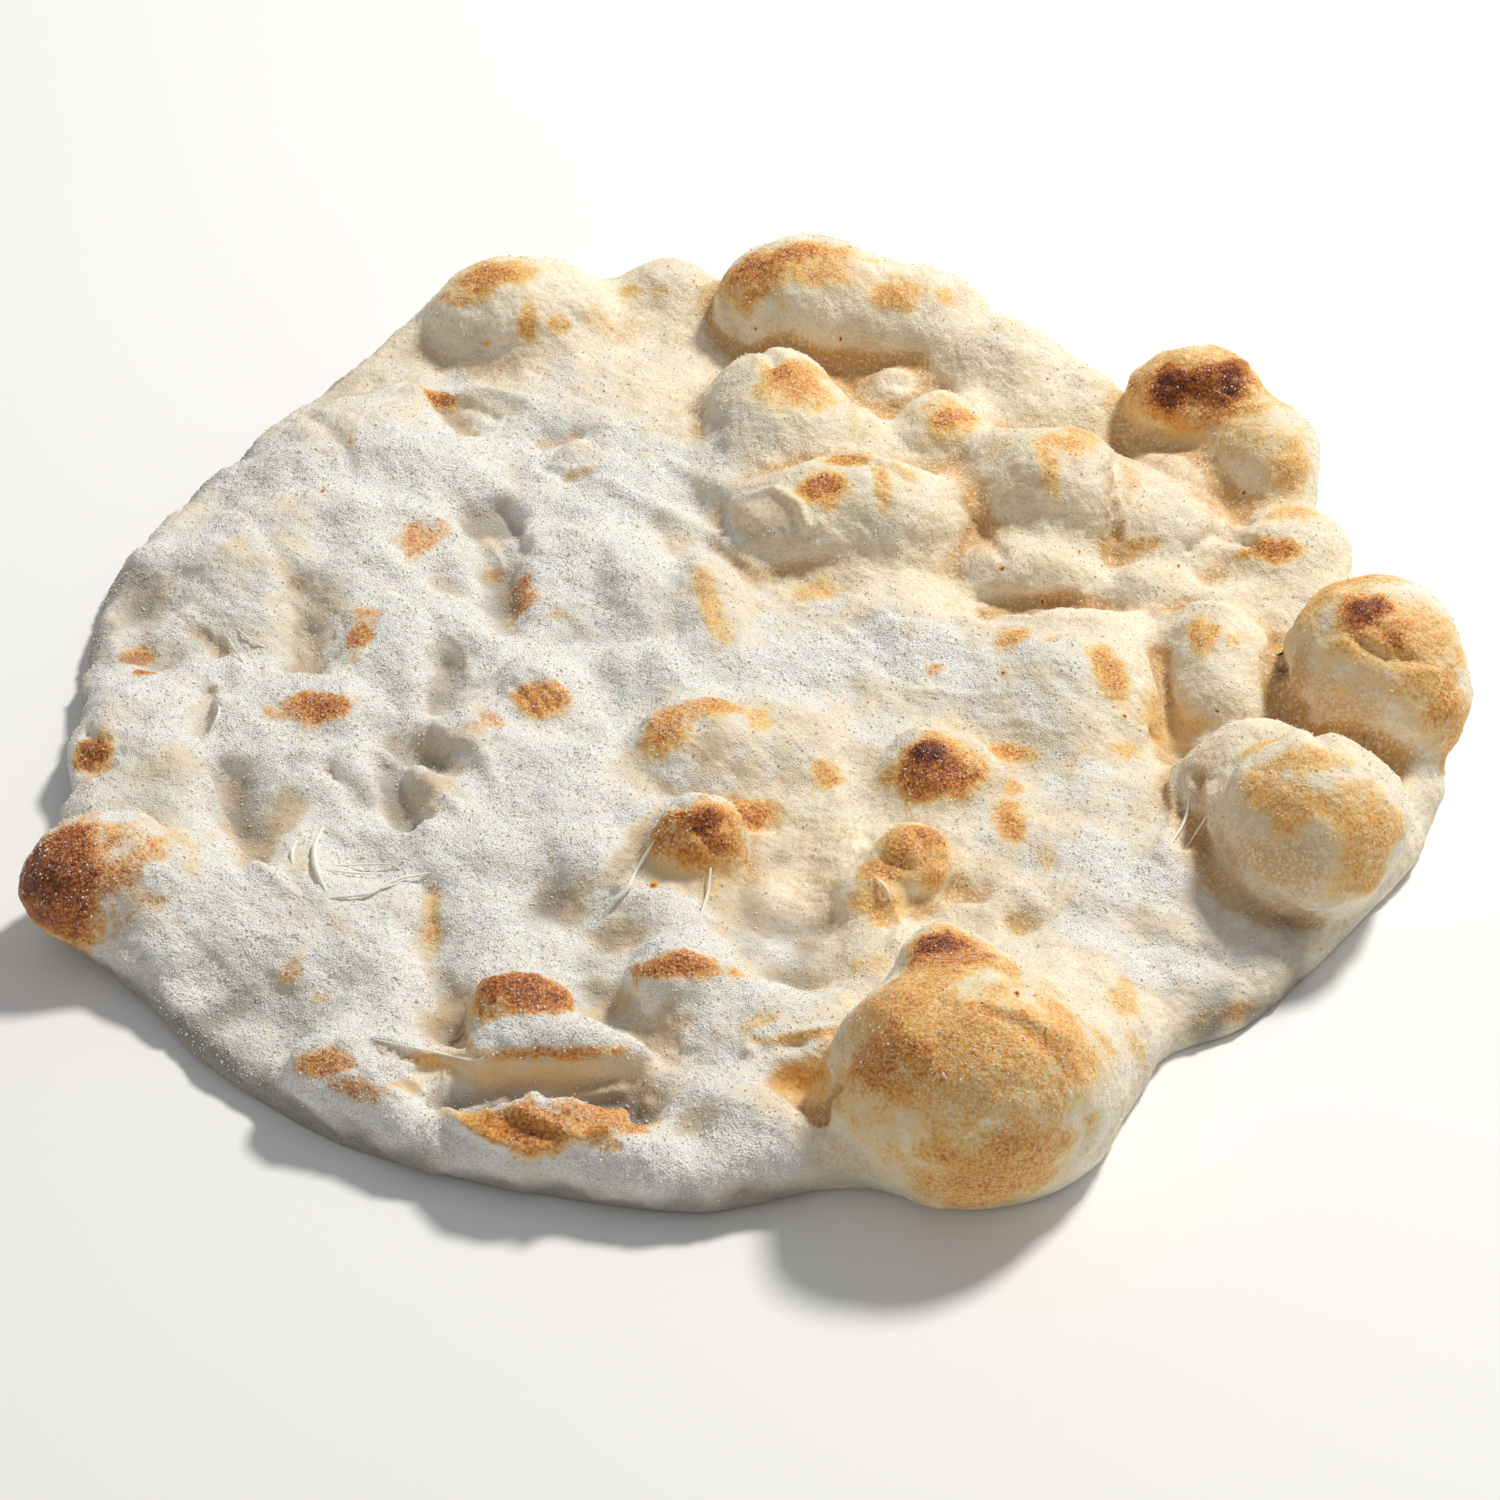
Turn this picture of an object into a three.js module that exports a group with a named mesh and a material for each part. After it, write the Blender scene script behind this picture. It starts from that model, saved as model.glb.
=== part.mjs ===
// A baked, blistered, hand-stretched pizza base: one piece of dough, in millimetres, +Z up.
// The origin is on the floor, under the middle of the base's bounding box.
// The dough is the zero surface of one smooth field: a thin sheet with a rolled rim, joined softly to the
// bubbles that rise from it, with hollows and creases pressed in, and cut flat by the floor it rests on.
import * as THREE from "three";

// Rim, going round from the right: x and y of its widest line, and the height of its roll there.
const RIM = [
  [149, -10, 13],
  [141, 24, 13],
  [130, 46, 14],
  [125, 77, 14],
  [112, 102, 15],
  [86, 107, 11],
  [66, 116, 13],
  [40, 137, 15],
  [10, 149, 18],
  [-24, 152, 14],
  [-60, 150, 15],
  [-84, 143, 12],
  [-98, 126, 9],
  [-116, 101, 9],
  [-134, 73, 9],
  [-150, 40, 9],
  [-152, 8, 10],
  [-150, -30, 12],
  [-148, -58, 13],
  [-134, -82, 12],
  [-108, -113, 12],
  [-84, -131, 13],
  [-66, -138, 14],
  [-44, -144, 15],
  [-12, -149, 15],
  [17, -139, 14],
  [34, -145, 14],
  [56, -144, 14],
  [69, -125, 10],
  [78, -108, 9],
  [97, -98, 8],
  [112, -83, 8],
  [123, -70, 9],
  [140, -48, 12],
];
const SHEET_TOP = 10.5; // height of the sheet inside the rim
const SHEET_SINK = 3; // how far the sheet's rounded underside would reach under the floor
const ROLL_INNER = 30; // the rim's roll starts to rise from the sheet at this distance from the edge
const ROLL_OUTER = 8; // and has its whole height at this one
const WAVE_HEIGHT = 1.3; // slow waves all over the sheet
const WAVE_X = 9; // mm for each radian of a wave, along x, along y and across both
const WAVE_Y = 11;
const WAVE_SLANT = 23;

// Bubbles: x, y, height of the middle, half length, half width, half height, turn in degrees, softness.
const BUBBLES = [
  // along the rim, from the right
  [133, -7, 19, 20, 20, 20, 0, 4],
  [139, -16, 17, 13, 13, 13, 0, 8],
  [113, -58, 19, 20, 20, 20, 0, 3],
  [104, -42, 14, 17, 16, 15, 0, 6],
  [121, -47, 13, 14, 15, 14, 0, 6],
  [38, -131, 20, 27, 23, 24, 0, 6],
  [39, -114, 18, 18, 16, 16, 0, 8],
  [34, -107, 27, 8, 8, 8, 0, 6],
  [57, -123, 14, 14, 17, 13, 0, 10],
  [56, -104, 7, 20, 20, 11, 0, 12],
  [17, -131, 9, 15, 11, 11, 0, 9],
  [-5, -132, 7, 26, 11, 8, 0, 8],
  [-136, -69, 14, 18, 14, 14, 15, 7],
  [-118, -68, 7, 26, 18, 9, 0, 10],
  [-142, -22, 9, 8, 9, 6, 0, 6],
  [-60, 134, 10, 24, 18, 17, 0, 9],
  [-24, 146, 11, 13, 9, 9, 0, 6],
  [11, 133, 17, 23, 17, 17, 0, 6],
  [36, 128, 15, 20, 16, 14, -15, 8],
  [57, 111, 12, 21, 15, 13, -35, 7],
  [75, 98, 10, 12, 11, 10, -30, 6],
  [103, 91, 19, 17, 11, 13, 0, 6],
  [118, 74, 14, 13, 15, 13, 15, 11],
  [123, 44, 9, 12, 13, 10, 0, 6],
  // inside, from the back right
  [3, 90, 13, 17, 22, 15, 0, 9],
  [-4, 70, 9, 13, 12, 8, 0, 9],
  [31, 103, 11, 6, 6, 6, 0, 7],
  [12, 80, 11, 20, 18, 12, 0, 8],
  [62, 98, 8, 24, 16, 10, 0, 10],
  [94, 58, 7, 13, 20, 11, 0, 8],
  [43, 83, 13, 12, 13, 11, 0, 7],
  [56, 71, 12, 9, 11, 11, 0, 7],
  [46, 60, 8, 9, 12, 9, 0, 8],
  [67, 59, 13, 18, 18, 17, 0, 7],
  [7, 50, 11, 15, 14, 14, 0, 8],
  [25, 51, 12, 21, 16, 16, 0, 10],
  [62, 37, 9, 16, 11, 9, 0, 6],
  [93, 50, 8, 11, 16, 10, 20, 5],
  [88, 31, 7, 12, 8, 8, 0, 5],
  [106, 25, 6, 10, 8, 7, 0, 5],
  [117, 42, 9, 10, 8, 8, 0, 5],
  [68, -2, 6, 23, 25, 13, 0, 9],
  [34, 8, 5, 20, 18, 9, 0, 9],
  [22, 26, 5, 20, 12, 9, 0, 8],
  [80, 68, 6, 16, 12, 9, 0, 7],
  [28, 74, 7, 24, 12, 9, 0, 7],
  [100, 2, 9, 14, 20, 12, 0, 6],
  [37, -33, 11, 12, 11, 9, 0, 7],
  [30, -62, 11, 9, 9, 9, 0, 5],
  [21, -70, 9, 8, 9, 6, 0, 6],
  [75, -60, 3, 26, 32, 10, 0, 9],
  [-14, -26, 9, 15, 14, 12, 0, 6],
  [3, -22, 7, 14, 14, 8, 0, 8],
  [-13, -57, 13, 13, 11, 13, 20, 6],
  [-17, -93, 11, 12, 10, 9, 15, 5],
  [2, -104, 6, 20, 15, 9, 0, 8],
  [-51, -106, 11, 14, 10, 11, 0, 4],
  [-46, -115, 10, 24, 7, 9, 0, 5],
  [-42, -135, 10, 18, 9, 9, 0, 4],
  // inside, the floured left half
  [-98, -10, 8, 13, 10, 7, 0, 7],
  [-10, 0, 5, 26, 14, 8, 0, 8],
  [-24, -66, 5, 22, 18, 7, 0, 8],
  [20, -88, 5, 22, 12, 7, 0, 8],
  [-50, -6, 9, 11, 10, 8, -30, 6],
  [-63, -14, 9, 6, 9, 6, -30, 6],
  [-13, 20, 9, 9, 22, 9, 12, 6],
  [-29, 32, 8, 8, 20, 8, 12, 7],
  [-38, 92, 6, 26, 30, 9, 0, 10],
  [-46, 48, 6, 12, 18, 8, 0, 8],
  [-92, 78, 7, 27, 25, 11, -20, 10],
  [-106, 40, 7, 24, 26, 10, 0, 10],
  [-84, 46, 7, 15, 17, 8, 0, 8],
  [-80, 12, 6, 20, 16, 9, 0, 8],
  [-128, -20, 5, 20, 22, 10, 0, 9],
  [-58, -52, 6, 22, 28, 8, 0, 10],
  [-88, -76, 5, 20, 14, 9, 0, 8],
  [-35, -45, 5, 18, 20, 8, 0, 9],
  [-96, -88, 8, 6, 9, 5, 0, 6],
  [-83, -118, 10, 12, 9, 7, 0, 7],
  [-74, -98, 6, 12, 14, 8, 0, 8],
];

// Hollows and grooves: x and y of the start and of the end, width, depth.
const HOLLOWS = [
  [-115, -34, -107, -60, 5, 6],
  [-82, -28, -75, -48, 4, 6],
  [-80, -19, -68, -30, 4, 5],
  [-94, -30, -86, -40, 3, 3],
  [-122, -6, -123, -20, 4, 4],
  [-106, 28, -102, 6, 5, 6],
  [-77, 102, -72, 88, 5, 5],
  [-52, 84, -46, 85, 5, 4],
  [-65, 58, -60, 40, 5, 7],
  [-60, 34, -59, 20, 4, 6],
  [-71, 4, -72, -9, 4, 6],
  [-147, 38, -143, 26, 5, 4],
  [-140, 12, -134, 8, 4, 3],
  [-127, 16, -122, 10, 4, 3],
  [-74, 34, -66, 26, 4, 3],
  [-108, -100, -98, -108, 9, 6],
  [-45, -70, -33, -80, 7, 4],
  [2, -50, 8, -88, 9, 7],
  [-35, -94, -31, -101, 5, 4],
  [-24, -108, -18, -112, 5, 2],
  [5, -124, 12, -132, 5, 8],
  [-66, -94, -61, -114, 5, 5],
  [-69, -70, -70, -90, 4, 3],
  [88, 4, 89, -22, 4, 4],
  [50, 22, 66, 27, 4, 2],
  [72, 26, 98, 23, 5, 1],
  [-22, -132, -14, -138, 7, 4],
  [42, -67, 44, -68, 4, 3],
  [52, -77, 53, -78, 4, 3],
  [-64, -126, -26, -126, 5, 9],
];
const FULL_DEPTH_AT = 9; // a hollow fades out between this height
const NO_DEPTH_AT = 1; // and this one, so that the underside stays flat
const BUBBLE_REACH = 14; // further out than this from a bubble's box, the bubble has no say

// Mesh: rings across the top, rings round the rim's roll, and passes that even out the triangles.
const TOP_RINGS = 36;
const ROLL_RINGS = 6;
const ROLL_SWEEP = 0.7 * Math.PI; // how far round the roll its rings start, from its top line
const RELAX_PASSES = 60;
const RELAX_STEP = 0.8;
const FOOT_RELAX_STEP = 0.15;
const AREA_POWER = 2; // how strongly a point is drawn to the larger of the triangles round it
const START_HEIGHT = 60;
const DROP_STEPS = 80;
const DROP_SHARE = 0.7; // share of the distance to the dough that one step of a drop takes
const DROP_NEAR = 0.01;
const SETTLE_STEPS = 6;
const FOOT_SETTLE_STEPS = 2;
const GRADIENT_STEP = 0.05;
const LEAST_GRADIENT = 0.2; // lowest squared gradient that a move is worked out from
const LONGEST_MOVE = 2;
const UNDERSIDE_SHARES = [0.8, 0.65, 0.45]; // each ring's size against the one outside it
const RIM_STEPS = 720;
const SLOPE_ANGLE = 0.02; // radians to each side, over which the rim's slant is measured

const DEGREE = Math.PI / 180;

// A periodic Catmull-Rom curve through values that stand at growing angles round the rim.
function roundTheRim(values) {
  const angles = RIM.map(([x, y]) => Math.atan2(y, x));
  for (let i = 1; i < angles.length; i++) {
    while (angles[i] < angles[i - 1]) angles[i] += 2 * Math.PI;
  }
  const count = RIM.length;
  return (angle) => {
    let a = angle;
    while (a < angles[0]) a += 2 * Math.PI;
    while (a >= angles[0] + 2 * Math.PI) a -= 2 * Math.PI;
    let i = 0;
    while (i < count - 1 && angles[i + 1] <= a) i++;
    const start = angles[i];
    const end = i + 1 < count ? angles[i + 1] : angles[0] + 2 * Math.PI;
    const t = (a - start) / (end - start);
    const [before, from, to, after] = [-1, 0, 1, 2].map((k) => values[(i + k + count) % count]);
    const slopeIn = (to - before) / 2;
    const slopeOut = (after - from) / 2;
    const t2 = t * t;
    const t3 = t2 * t;
    return (
      (2 * t3 - 3 * t2 + 1) * from +
      (t3 - 2 * t2 + t) * slopeIn +
      (3 * t2 - 2 * t3) * to +
      (t3 - t2) * slopeOut
    );
  };
}

const rimRadius = sampled(roundTheRim(RIM.map(([x, y]) => Math.hypot(x, y))));
const rollHeight = sampled(roundTheRim(RIM.map((point) => point[2])));

// The same curve as a table of even steps, read back by straight lines between them.
function sampled(curve) {
  const table = Array.from({ length: RIM_STEPS }, (_, i) => curve((i / RIM_STEPS) * 2 * Math.PI));
  return (angle) => {
    const place = ((angle / (2 * Math.PI)) % 1 + 1) * RIM_STEPS;
    const i = Math.floor(place);
    const from = table[i % RIM_STEPS];
    return from + (table[(i + 1) % RIM_STEPS] - from) * (place - i);
  };
}

function smoothStep(low, high, value) {
  const t = THREE.MathUtils.clamp((value - low) / (high - low), 0, 1);
  return t * t * (3 - 2 * t);
}

// The lower of two distances, rounded over where they meet.
function softMin(a, b, softness) {
  const overlap = Math.max(softness - Math.abs(a - b), 0) / softness;
  return Math.min(a, b) - (overlap * overlap * softness) / 4;
}

function sheetDistance(x, y, z) {
  const angle = Math.atan2(y, x);
  const radius = rimRadius(angle);
  const turned = rimRadius(angle + SLOPE_ANGLE) - rimRadius(angle - SLOPE_ANGLE);
  const slope = turned / (2 * SLOPE_ANGLE) / radius;
  const edge = (Math.hypot(x, y) - radius) / Math.hypot(1, slope);
  const inRoll = smoothStep(-ROLL_INNER, -ROLL_OUTER, edge);
  const swell = WAVE_HEIGHT * Math.sin(x / WAVE_X + 1) * Math.sin(y / WAVE_Y + x / WAVE_SLANT);
  const top = SHEET_TOP + (rollHeight(angle) - SHEET_TOP) * inRoll + swell;
  const half = (top + SHEET_SINK) / 2;
  const across = edge + half;
  const up = Math.abs(z - top + half);
  return Math.hypot(Math.max(across, 0), up) - half;
}

// A close measure of the distance to a turned ellipsoid.
function bubbleDistance(bubble, x, y, z) {
  const [cx, cy, cz, length, width, height, turn] = bubble;
  const c = Math.cos(turn * DEGREE);
  const s = Math.sin(turn * DEGREE);
  const u = (x - cx) * c + (y - cy) * s;
  const v = (y - cy) * c - (x - cx) * s;
  const w = z - cz;
  const k0 = Math.hypot(u / length, v / width, w / height);
  const k1 = Math.hypot(u / length ** 2, v / width ** 2, w / height ** 2);
  return k1 > 0 ? (k0 * (k0 - 1)) / k1 : -Math.min(length, width, height);
}

function hollowDepth(x, y) {
  let depth = 0;
  for (const [x0, y0, x1, y1, width, deep] of HOLLOWS) {
    const along = ((x - x0) * (x1 - x0) + (y - y0) * (y1 - y0)) / ((x1 - x0) ** 2 + (y1 - y0) ** 2);
    const t = THREE.MathUtils.clamp(along, 0, 1);
    const off = Math.hypot(x - x0 - t * (x1 - x0), y - y0 - t * (y1 - y0));
    depth += deep * Math.exp(-((off / width) ** 2));
  }
  return depth;
}

function doughDistance(x, y, z) {
  let distance = sheetDistance(x, y, z);
  for (const bubble of BUBBLES) {
    const [cx, cy, , length, width, , , softness] = bubble;
    const reach = Math.max(length, width) + BUBBLE_REACH;
    if (Math.abs(x - cx) > reach || Math.abs(y - cy) > reach) continue;
    distance = softMin(distance, bubbleDistance(bubble, x, y, z), softness);
  }
  return distance + hollowDepth(x, y) * smoothStep(NO_DEPTH_AT, FULL_DEPTH_AT, z);
}

function gradientAt(x, y, z) {
  const e = GRADIENT_STEP;
  return new THREE.Vector3(
    doughDistance(x + e, y, z) - doughDistance(x - e, y, z),
    doughDistance(x, y + e, z) - doughDistance(x, y - e, z),
    doughDistance(x, y, z + e) - doughDistance(x, y, z - e),
  ).divideScalar(2 * e);
}

// Moves a point onto the dough's surface, along the field's steepest way.
function settle(point, steps) {
  for (let i = 0; i < steps; i++) {
    const gradient = gradientAt(point.x, point.y, point.z);
    const wanted = -doughDistance(point.x, point.y, point.z) / Math.max(gradient.lengthSq(), LEAST_GRADIENT);
    point.addScaledVector(gradient, THREE.MathUtils.clamp(wanted, -LONGEST_MOVE, LONGEST_MOVE));
  }
}

// Moves a point along the surface towards a middle, and back onto the surface.
function slide(point, middle) {
  const normal = gradientAt(point.x, point.y, point.z).normalize();
  const move = middle.sub(point);
  move.addScaledVector(normal, -move.dot(normal));
  point.addScaledVector(move, RELAX_STEP);
  settle(point, 1);
}

// Moves a point of the foot line onto the dough's surface within the floor plane.
function settleOnFloor(point, steps) {
  const e = GRADIENT_STEP;
  point.z = 0;
  for (let i = 0; i < steps; i++) {
    const { x, y } = point;
    const d = doughDistance(x, y, 0);
    const gx = (doughDistance(x + e, y, 0) - doughDistance(x - e, y, 0)) / (2 * e);
    const gy = (doughDistance(x, y + e, 0) - doughDistance(x, y - e, 0)) / (2 * e);
    const move = -d / Math.max(gx * gx + gy * gy, LEAST_GRADIENT);
    point.x += gx * move;
    point.y += gy * move;
  }
}

// Points of the top in rings of 6, 12, 18 and so on, then the roll's rings, all still unshaped.
function startPoints() {
  const points = [new THREE.Vector3(0, 0, START_HEIGHT)];
  const rings = TOP_RINGS + ROLL_RINGS;
  for (let ring = 1; ring <= rings; ring++) {
    const count = 6 * Math.min(ring, TOP_RINGS);
    for (let i = 0; i < count; i++) {
      const angle = (i / count) * 2 * Math.PI;
      const radius = rimRadius(angle);
      const roll = rollHeight(angle) / 2;
      const turn = (ROLL_SWEEP * Math.max(ring - TOP_RINGS, 0)) / ROLL_RINGS;
      const share = Math.min(ring / TOP_RINGS, 1);
      const reach = (radius - roll) * share + roll * Math.sin(turn);
      const height = turn > 0 ? roll * (1 + Math.cos(turn)) : START_HEIGHT;
      points.push(new THREE.Vector3(reach * Math.cos(angle), reach * Math.sin(angle), height));
    }
  }
  return points;
}

// Lowers a point of the top straight down until it meets the dough.
function drop(point) {
  for (let i = 0; i < DROP_STEPS; i++) {
    const d = doughDistance(point.x, point.y, point.z);
    if (d < DROP_NEAR) return;
    point.z -= Math.max(d * DROP_SHARE, DROP_NEAR);
  }
}

// Triangles between the rings of the top and of the roll.
function ringTriangles() {
  const triangles = [];
  const first = (ring) => (ring === 0 ? 0 : 1 + 3 * ring * (ring - 1));
  for (let ring = 1; ring <= TOP_RINGS; ring++) {
    const outer = first(ring);
    const inner = first(ring - 1);
    const innerCount = Math.max(6 * (ring - 1), 1);
    for (let side = 0; side < 6; side++) {
      for (let i = 0; i < ring; i++) {
        const a = outer + ((side * ring + i) % (6 * ring));
        const b = outer + ((side * ring + i + 1) % (6 * ring));
        const c = inner + ((side * (ring - 1) + i) % innerCount);
        triangles.push([c, a, b]);
        if (i < ring - 1) {
          const d = inner + ((side * (ring - 1) + i + 1) % innerCount);
          triangles.push([c, b, d]);
        }
      }
    }
  }
  const count = 6 * TOP_RINGS;
  for (let ring = TOP_RINGS + 1; ring <= TOP_RINGS + ROLL_RINGS; ring++) {
    const inner = first(TOP_RINGS) + count * (ring - 1 - TOP_RINGS);
    const outer = inner + count;
    for (let i = 0; i < count; i++) {
      const next = (i + 1) % count;
      triangles.push([inner + i, outer + i, outer + next]);
      triangles.push([inner + i, outer + next, inner + next]);
    }
  }
  return triangles;
}

// The flat underside: rings with half as many points each time, down to a fan round the origin.
function closeUnderside(points, triangles, footStart) {
  let ring = Array.from({ length: 6 * TOP_RINGS }, (_, i) => footStart + i);
  for (const share of UNDERSIDE_SHARES) {
    const inner = [];
    for (let i = 0; i < ring.length; i += 2) {
      inner.push(points.length);
      points.push(points[ring[i]].clone().multiplyScalar(share));
    }
    inner.forEach((here, i) => {
      const next = inner[(i + 1) % inner.length];
      const [a, b, c] = [0, 1, 2].map((k) => ring[(2 * i + k) % ring.length]);
      triangles.push([a, here, b], [b, here, next], [b, next, c]);
    });
    ring = inner;
  }
  ring.forEach((here, i) => triangles.push([here, points.length, ring[(i + 1) % ring.length]]));
  points.push(new THREE.Vector3(0, 0, 0));
}

// For each point, the middle of the triangles round it, where a larger one weighs more, so that they even out.
function middlesOf(points, triangles) {
  const middles = points.map(() => new THREE.Vector3());
  const weights = new Float64Array(points.length);
  const triangle = new THREE.Triangle();
  const centre = new THREE.Vector3();
  for (const corners of triangles) {
    triangle.set(...corners.map((i) => points[i]));
    const weight = triangle.getArea() ** AREA_POWER;
    triangle.getMidpoint(centre);
    for (const i of corners) {
      middles[i].addScaledVector(centre, weight);
      weights[i] += weight;
    }
  }
  return middles.map((middle, i) => middle.divideScalar(weights[i]));
}

function crustGeometry() {
  const points = startPoints();
  const footStart = points.length - 6 * TOP_RINGS;
  const triangles = ringTriangles();
  points.forEach((point, i) => {
    if (point.z === START_HEIGHT) drop(point);
    if (i >= footStart) settleOnFloor(point, SETTLE_STEPS);
    else settle(point, SETTLE_STEPS);
  });
  for (let pass = 0; pass < RELAX_PASSES; pass++) {
    const middles = middlesOf(points, triangles);
    points.forEach((point, i) => {
      if (i >= footStart) {
        point.lerp(middles[i].setZ(0), FOOT_RELAX_STEP);
        settleOnFloor(point, FOOT_SETTLE_STEPS);
      } else {
        slide(point, middles[i]);
      }
    });
  }
  closeUnderside(points, triangles, footStart);
  const geometry = new THREE.BufferGeometry().setFromPoints(points);
  geometry.setIndex(triangles.flat());
  return geometry;
}

const crust = new THREE.Mesh(
  crustGeometry(),
  new THREE.MeshStandardMaterial({ color: 0xe6dcc6, roughness: 0.9, metalness: 0 }),
);
crust.name = "crust";

const pizzaBase = new THREE.Group();
pizzaBase.add(crust);
export default pizzaBase;
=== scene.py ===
# A baked, blistered pizza base over its plain solid: the dough's fine form, its toast, and its flour.
# The dough is made in millimetres, in the frame's axes, and stored in metres.
import math

import bpy
import numpy as np
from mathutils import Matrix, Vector


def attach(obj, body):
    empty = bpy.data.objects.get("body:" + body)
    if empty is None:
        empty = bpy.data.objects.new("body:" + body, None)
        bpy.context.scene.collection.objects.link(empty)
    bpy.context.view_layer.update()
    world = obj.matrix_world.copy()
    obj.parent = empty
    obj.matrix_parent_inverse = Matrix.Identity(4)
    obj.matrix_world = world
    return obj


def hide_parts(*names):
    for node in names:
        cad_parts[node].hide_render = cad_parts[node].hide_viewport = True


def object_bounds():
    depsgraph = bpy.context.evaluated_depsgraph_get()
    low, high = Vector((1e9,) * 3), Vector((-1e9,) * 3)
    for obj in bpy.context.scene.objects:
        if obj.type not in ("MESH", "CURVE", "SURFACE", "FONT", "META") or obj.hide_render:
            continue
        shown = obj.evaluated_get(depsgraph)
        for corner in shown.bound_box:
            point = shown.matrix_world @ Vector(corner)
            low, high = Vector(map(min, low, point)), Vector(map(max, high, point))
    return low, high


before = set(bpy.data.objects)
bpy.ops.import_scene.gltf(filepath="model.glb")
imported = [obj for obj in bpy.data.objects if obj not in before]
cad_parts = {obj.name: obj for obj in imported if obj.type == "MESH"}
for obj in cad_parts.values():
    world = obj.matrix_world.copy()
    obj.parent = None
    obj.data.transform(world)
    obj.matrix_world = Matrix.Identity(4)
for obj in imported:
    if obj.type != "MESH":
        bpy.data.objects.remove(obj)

CAD_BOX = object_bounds()
MM = 0.001

# ---- Camera: it looks along +Y, and down at the base.
CAMERA_HEIGHT_ANGLE = math.radians(42)
CAMERA_DISTANCE = 800
CAMERA_TARGET = (-3.3, -13, 0)
FRAME_WIDTH = 331  # what the picture's width takes in, at the target
SENSOR = 36
READING_HEIGHT = 10  # places read from the picture are given on a level plane at this height

# ---- The solid's form.
# Rim, going round from the right: x and y of its widest line, and the height of its roll there.
RIM = np.array([
    (149, -10, 13), (141, 24, 13), (130, 46, 14), (125, 77, 14), (112, 102, 15), (86, 107, 11),
    (66, 116, 13), (40, 137, 15), (10, 149, 18), (-24, 152, 14), (-60, 150, 15), (-84, 143, 12),
    (-98, 126, 9), (-116, 101, 9), (-134, 73, 9), (-150, 40, 9), (-152, 8, 10), (-150, -30, 12),
    (-148, -58, 13), (-134, -82, 12), (-108, -113, 12), (-84, -131, 13), (-66, -138, 14), (-44, -144, 15),
    (-12, -149, 15), (17, -139, 14), (34, -145, 14), (56, -144, 14), (69, -125, 10), (78, -108, 9),
    (97, -98, 8), (112, -83, 8), (123, -70, 9), (140, -48, 12),
], float)
RIM_STEPS = 720
SLOPE_ANGLE = 0.02
SHEET_TOP = 10.5
SHEET_SINK = 3
ROLL_INNER = 30
ROLL_OUTER = 8
WAVE_HEIGHT = 1.3
WAVE_X = 9
WAVE_Y = 11
WAVE_SLANT = 23

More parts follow.
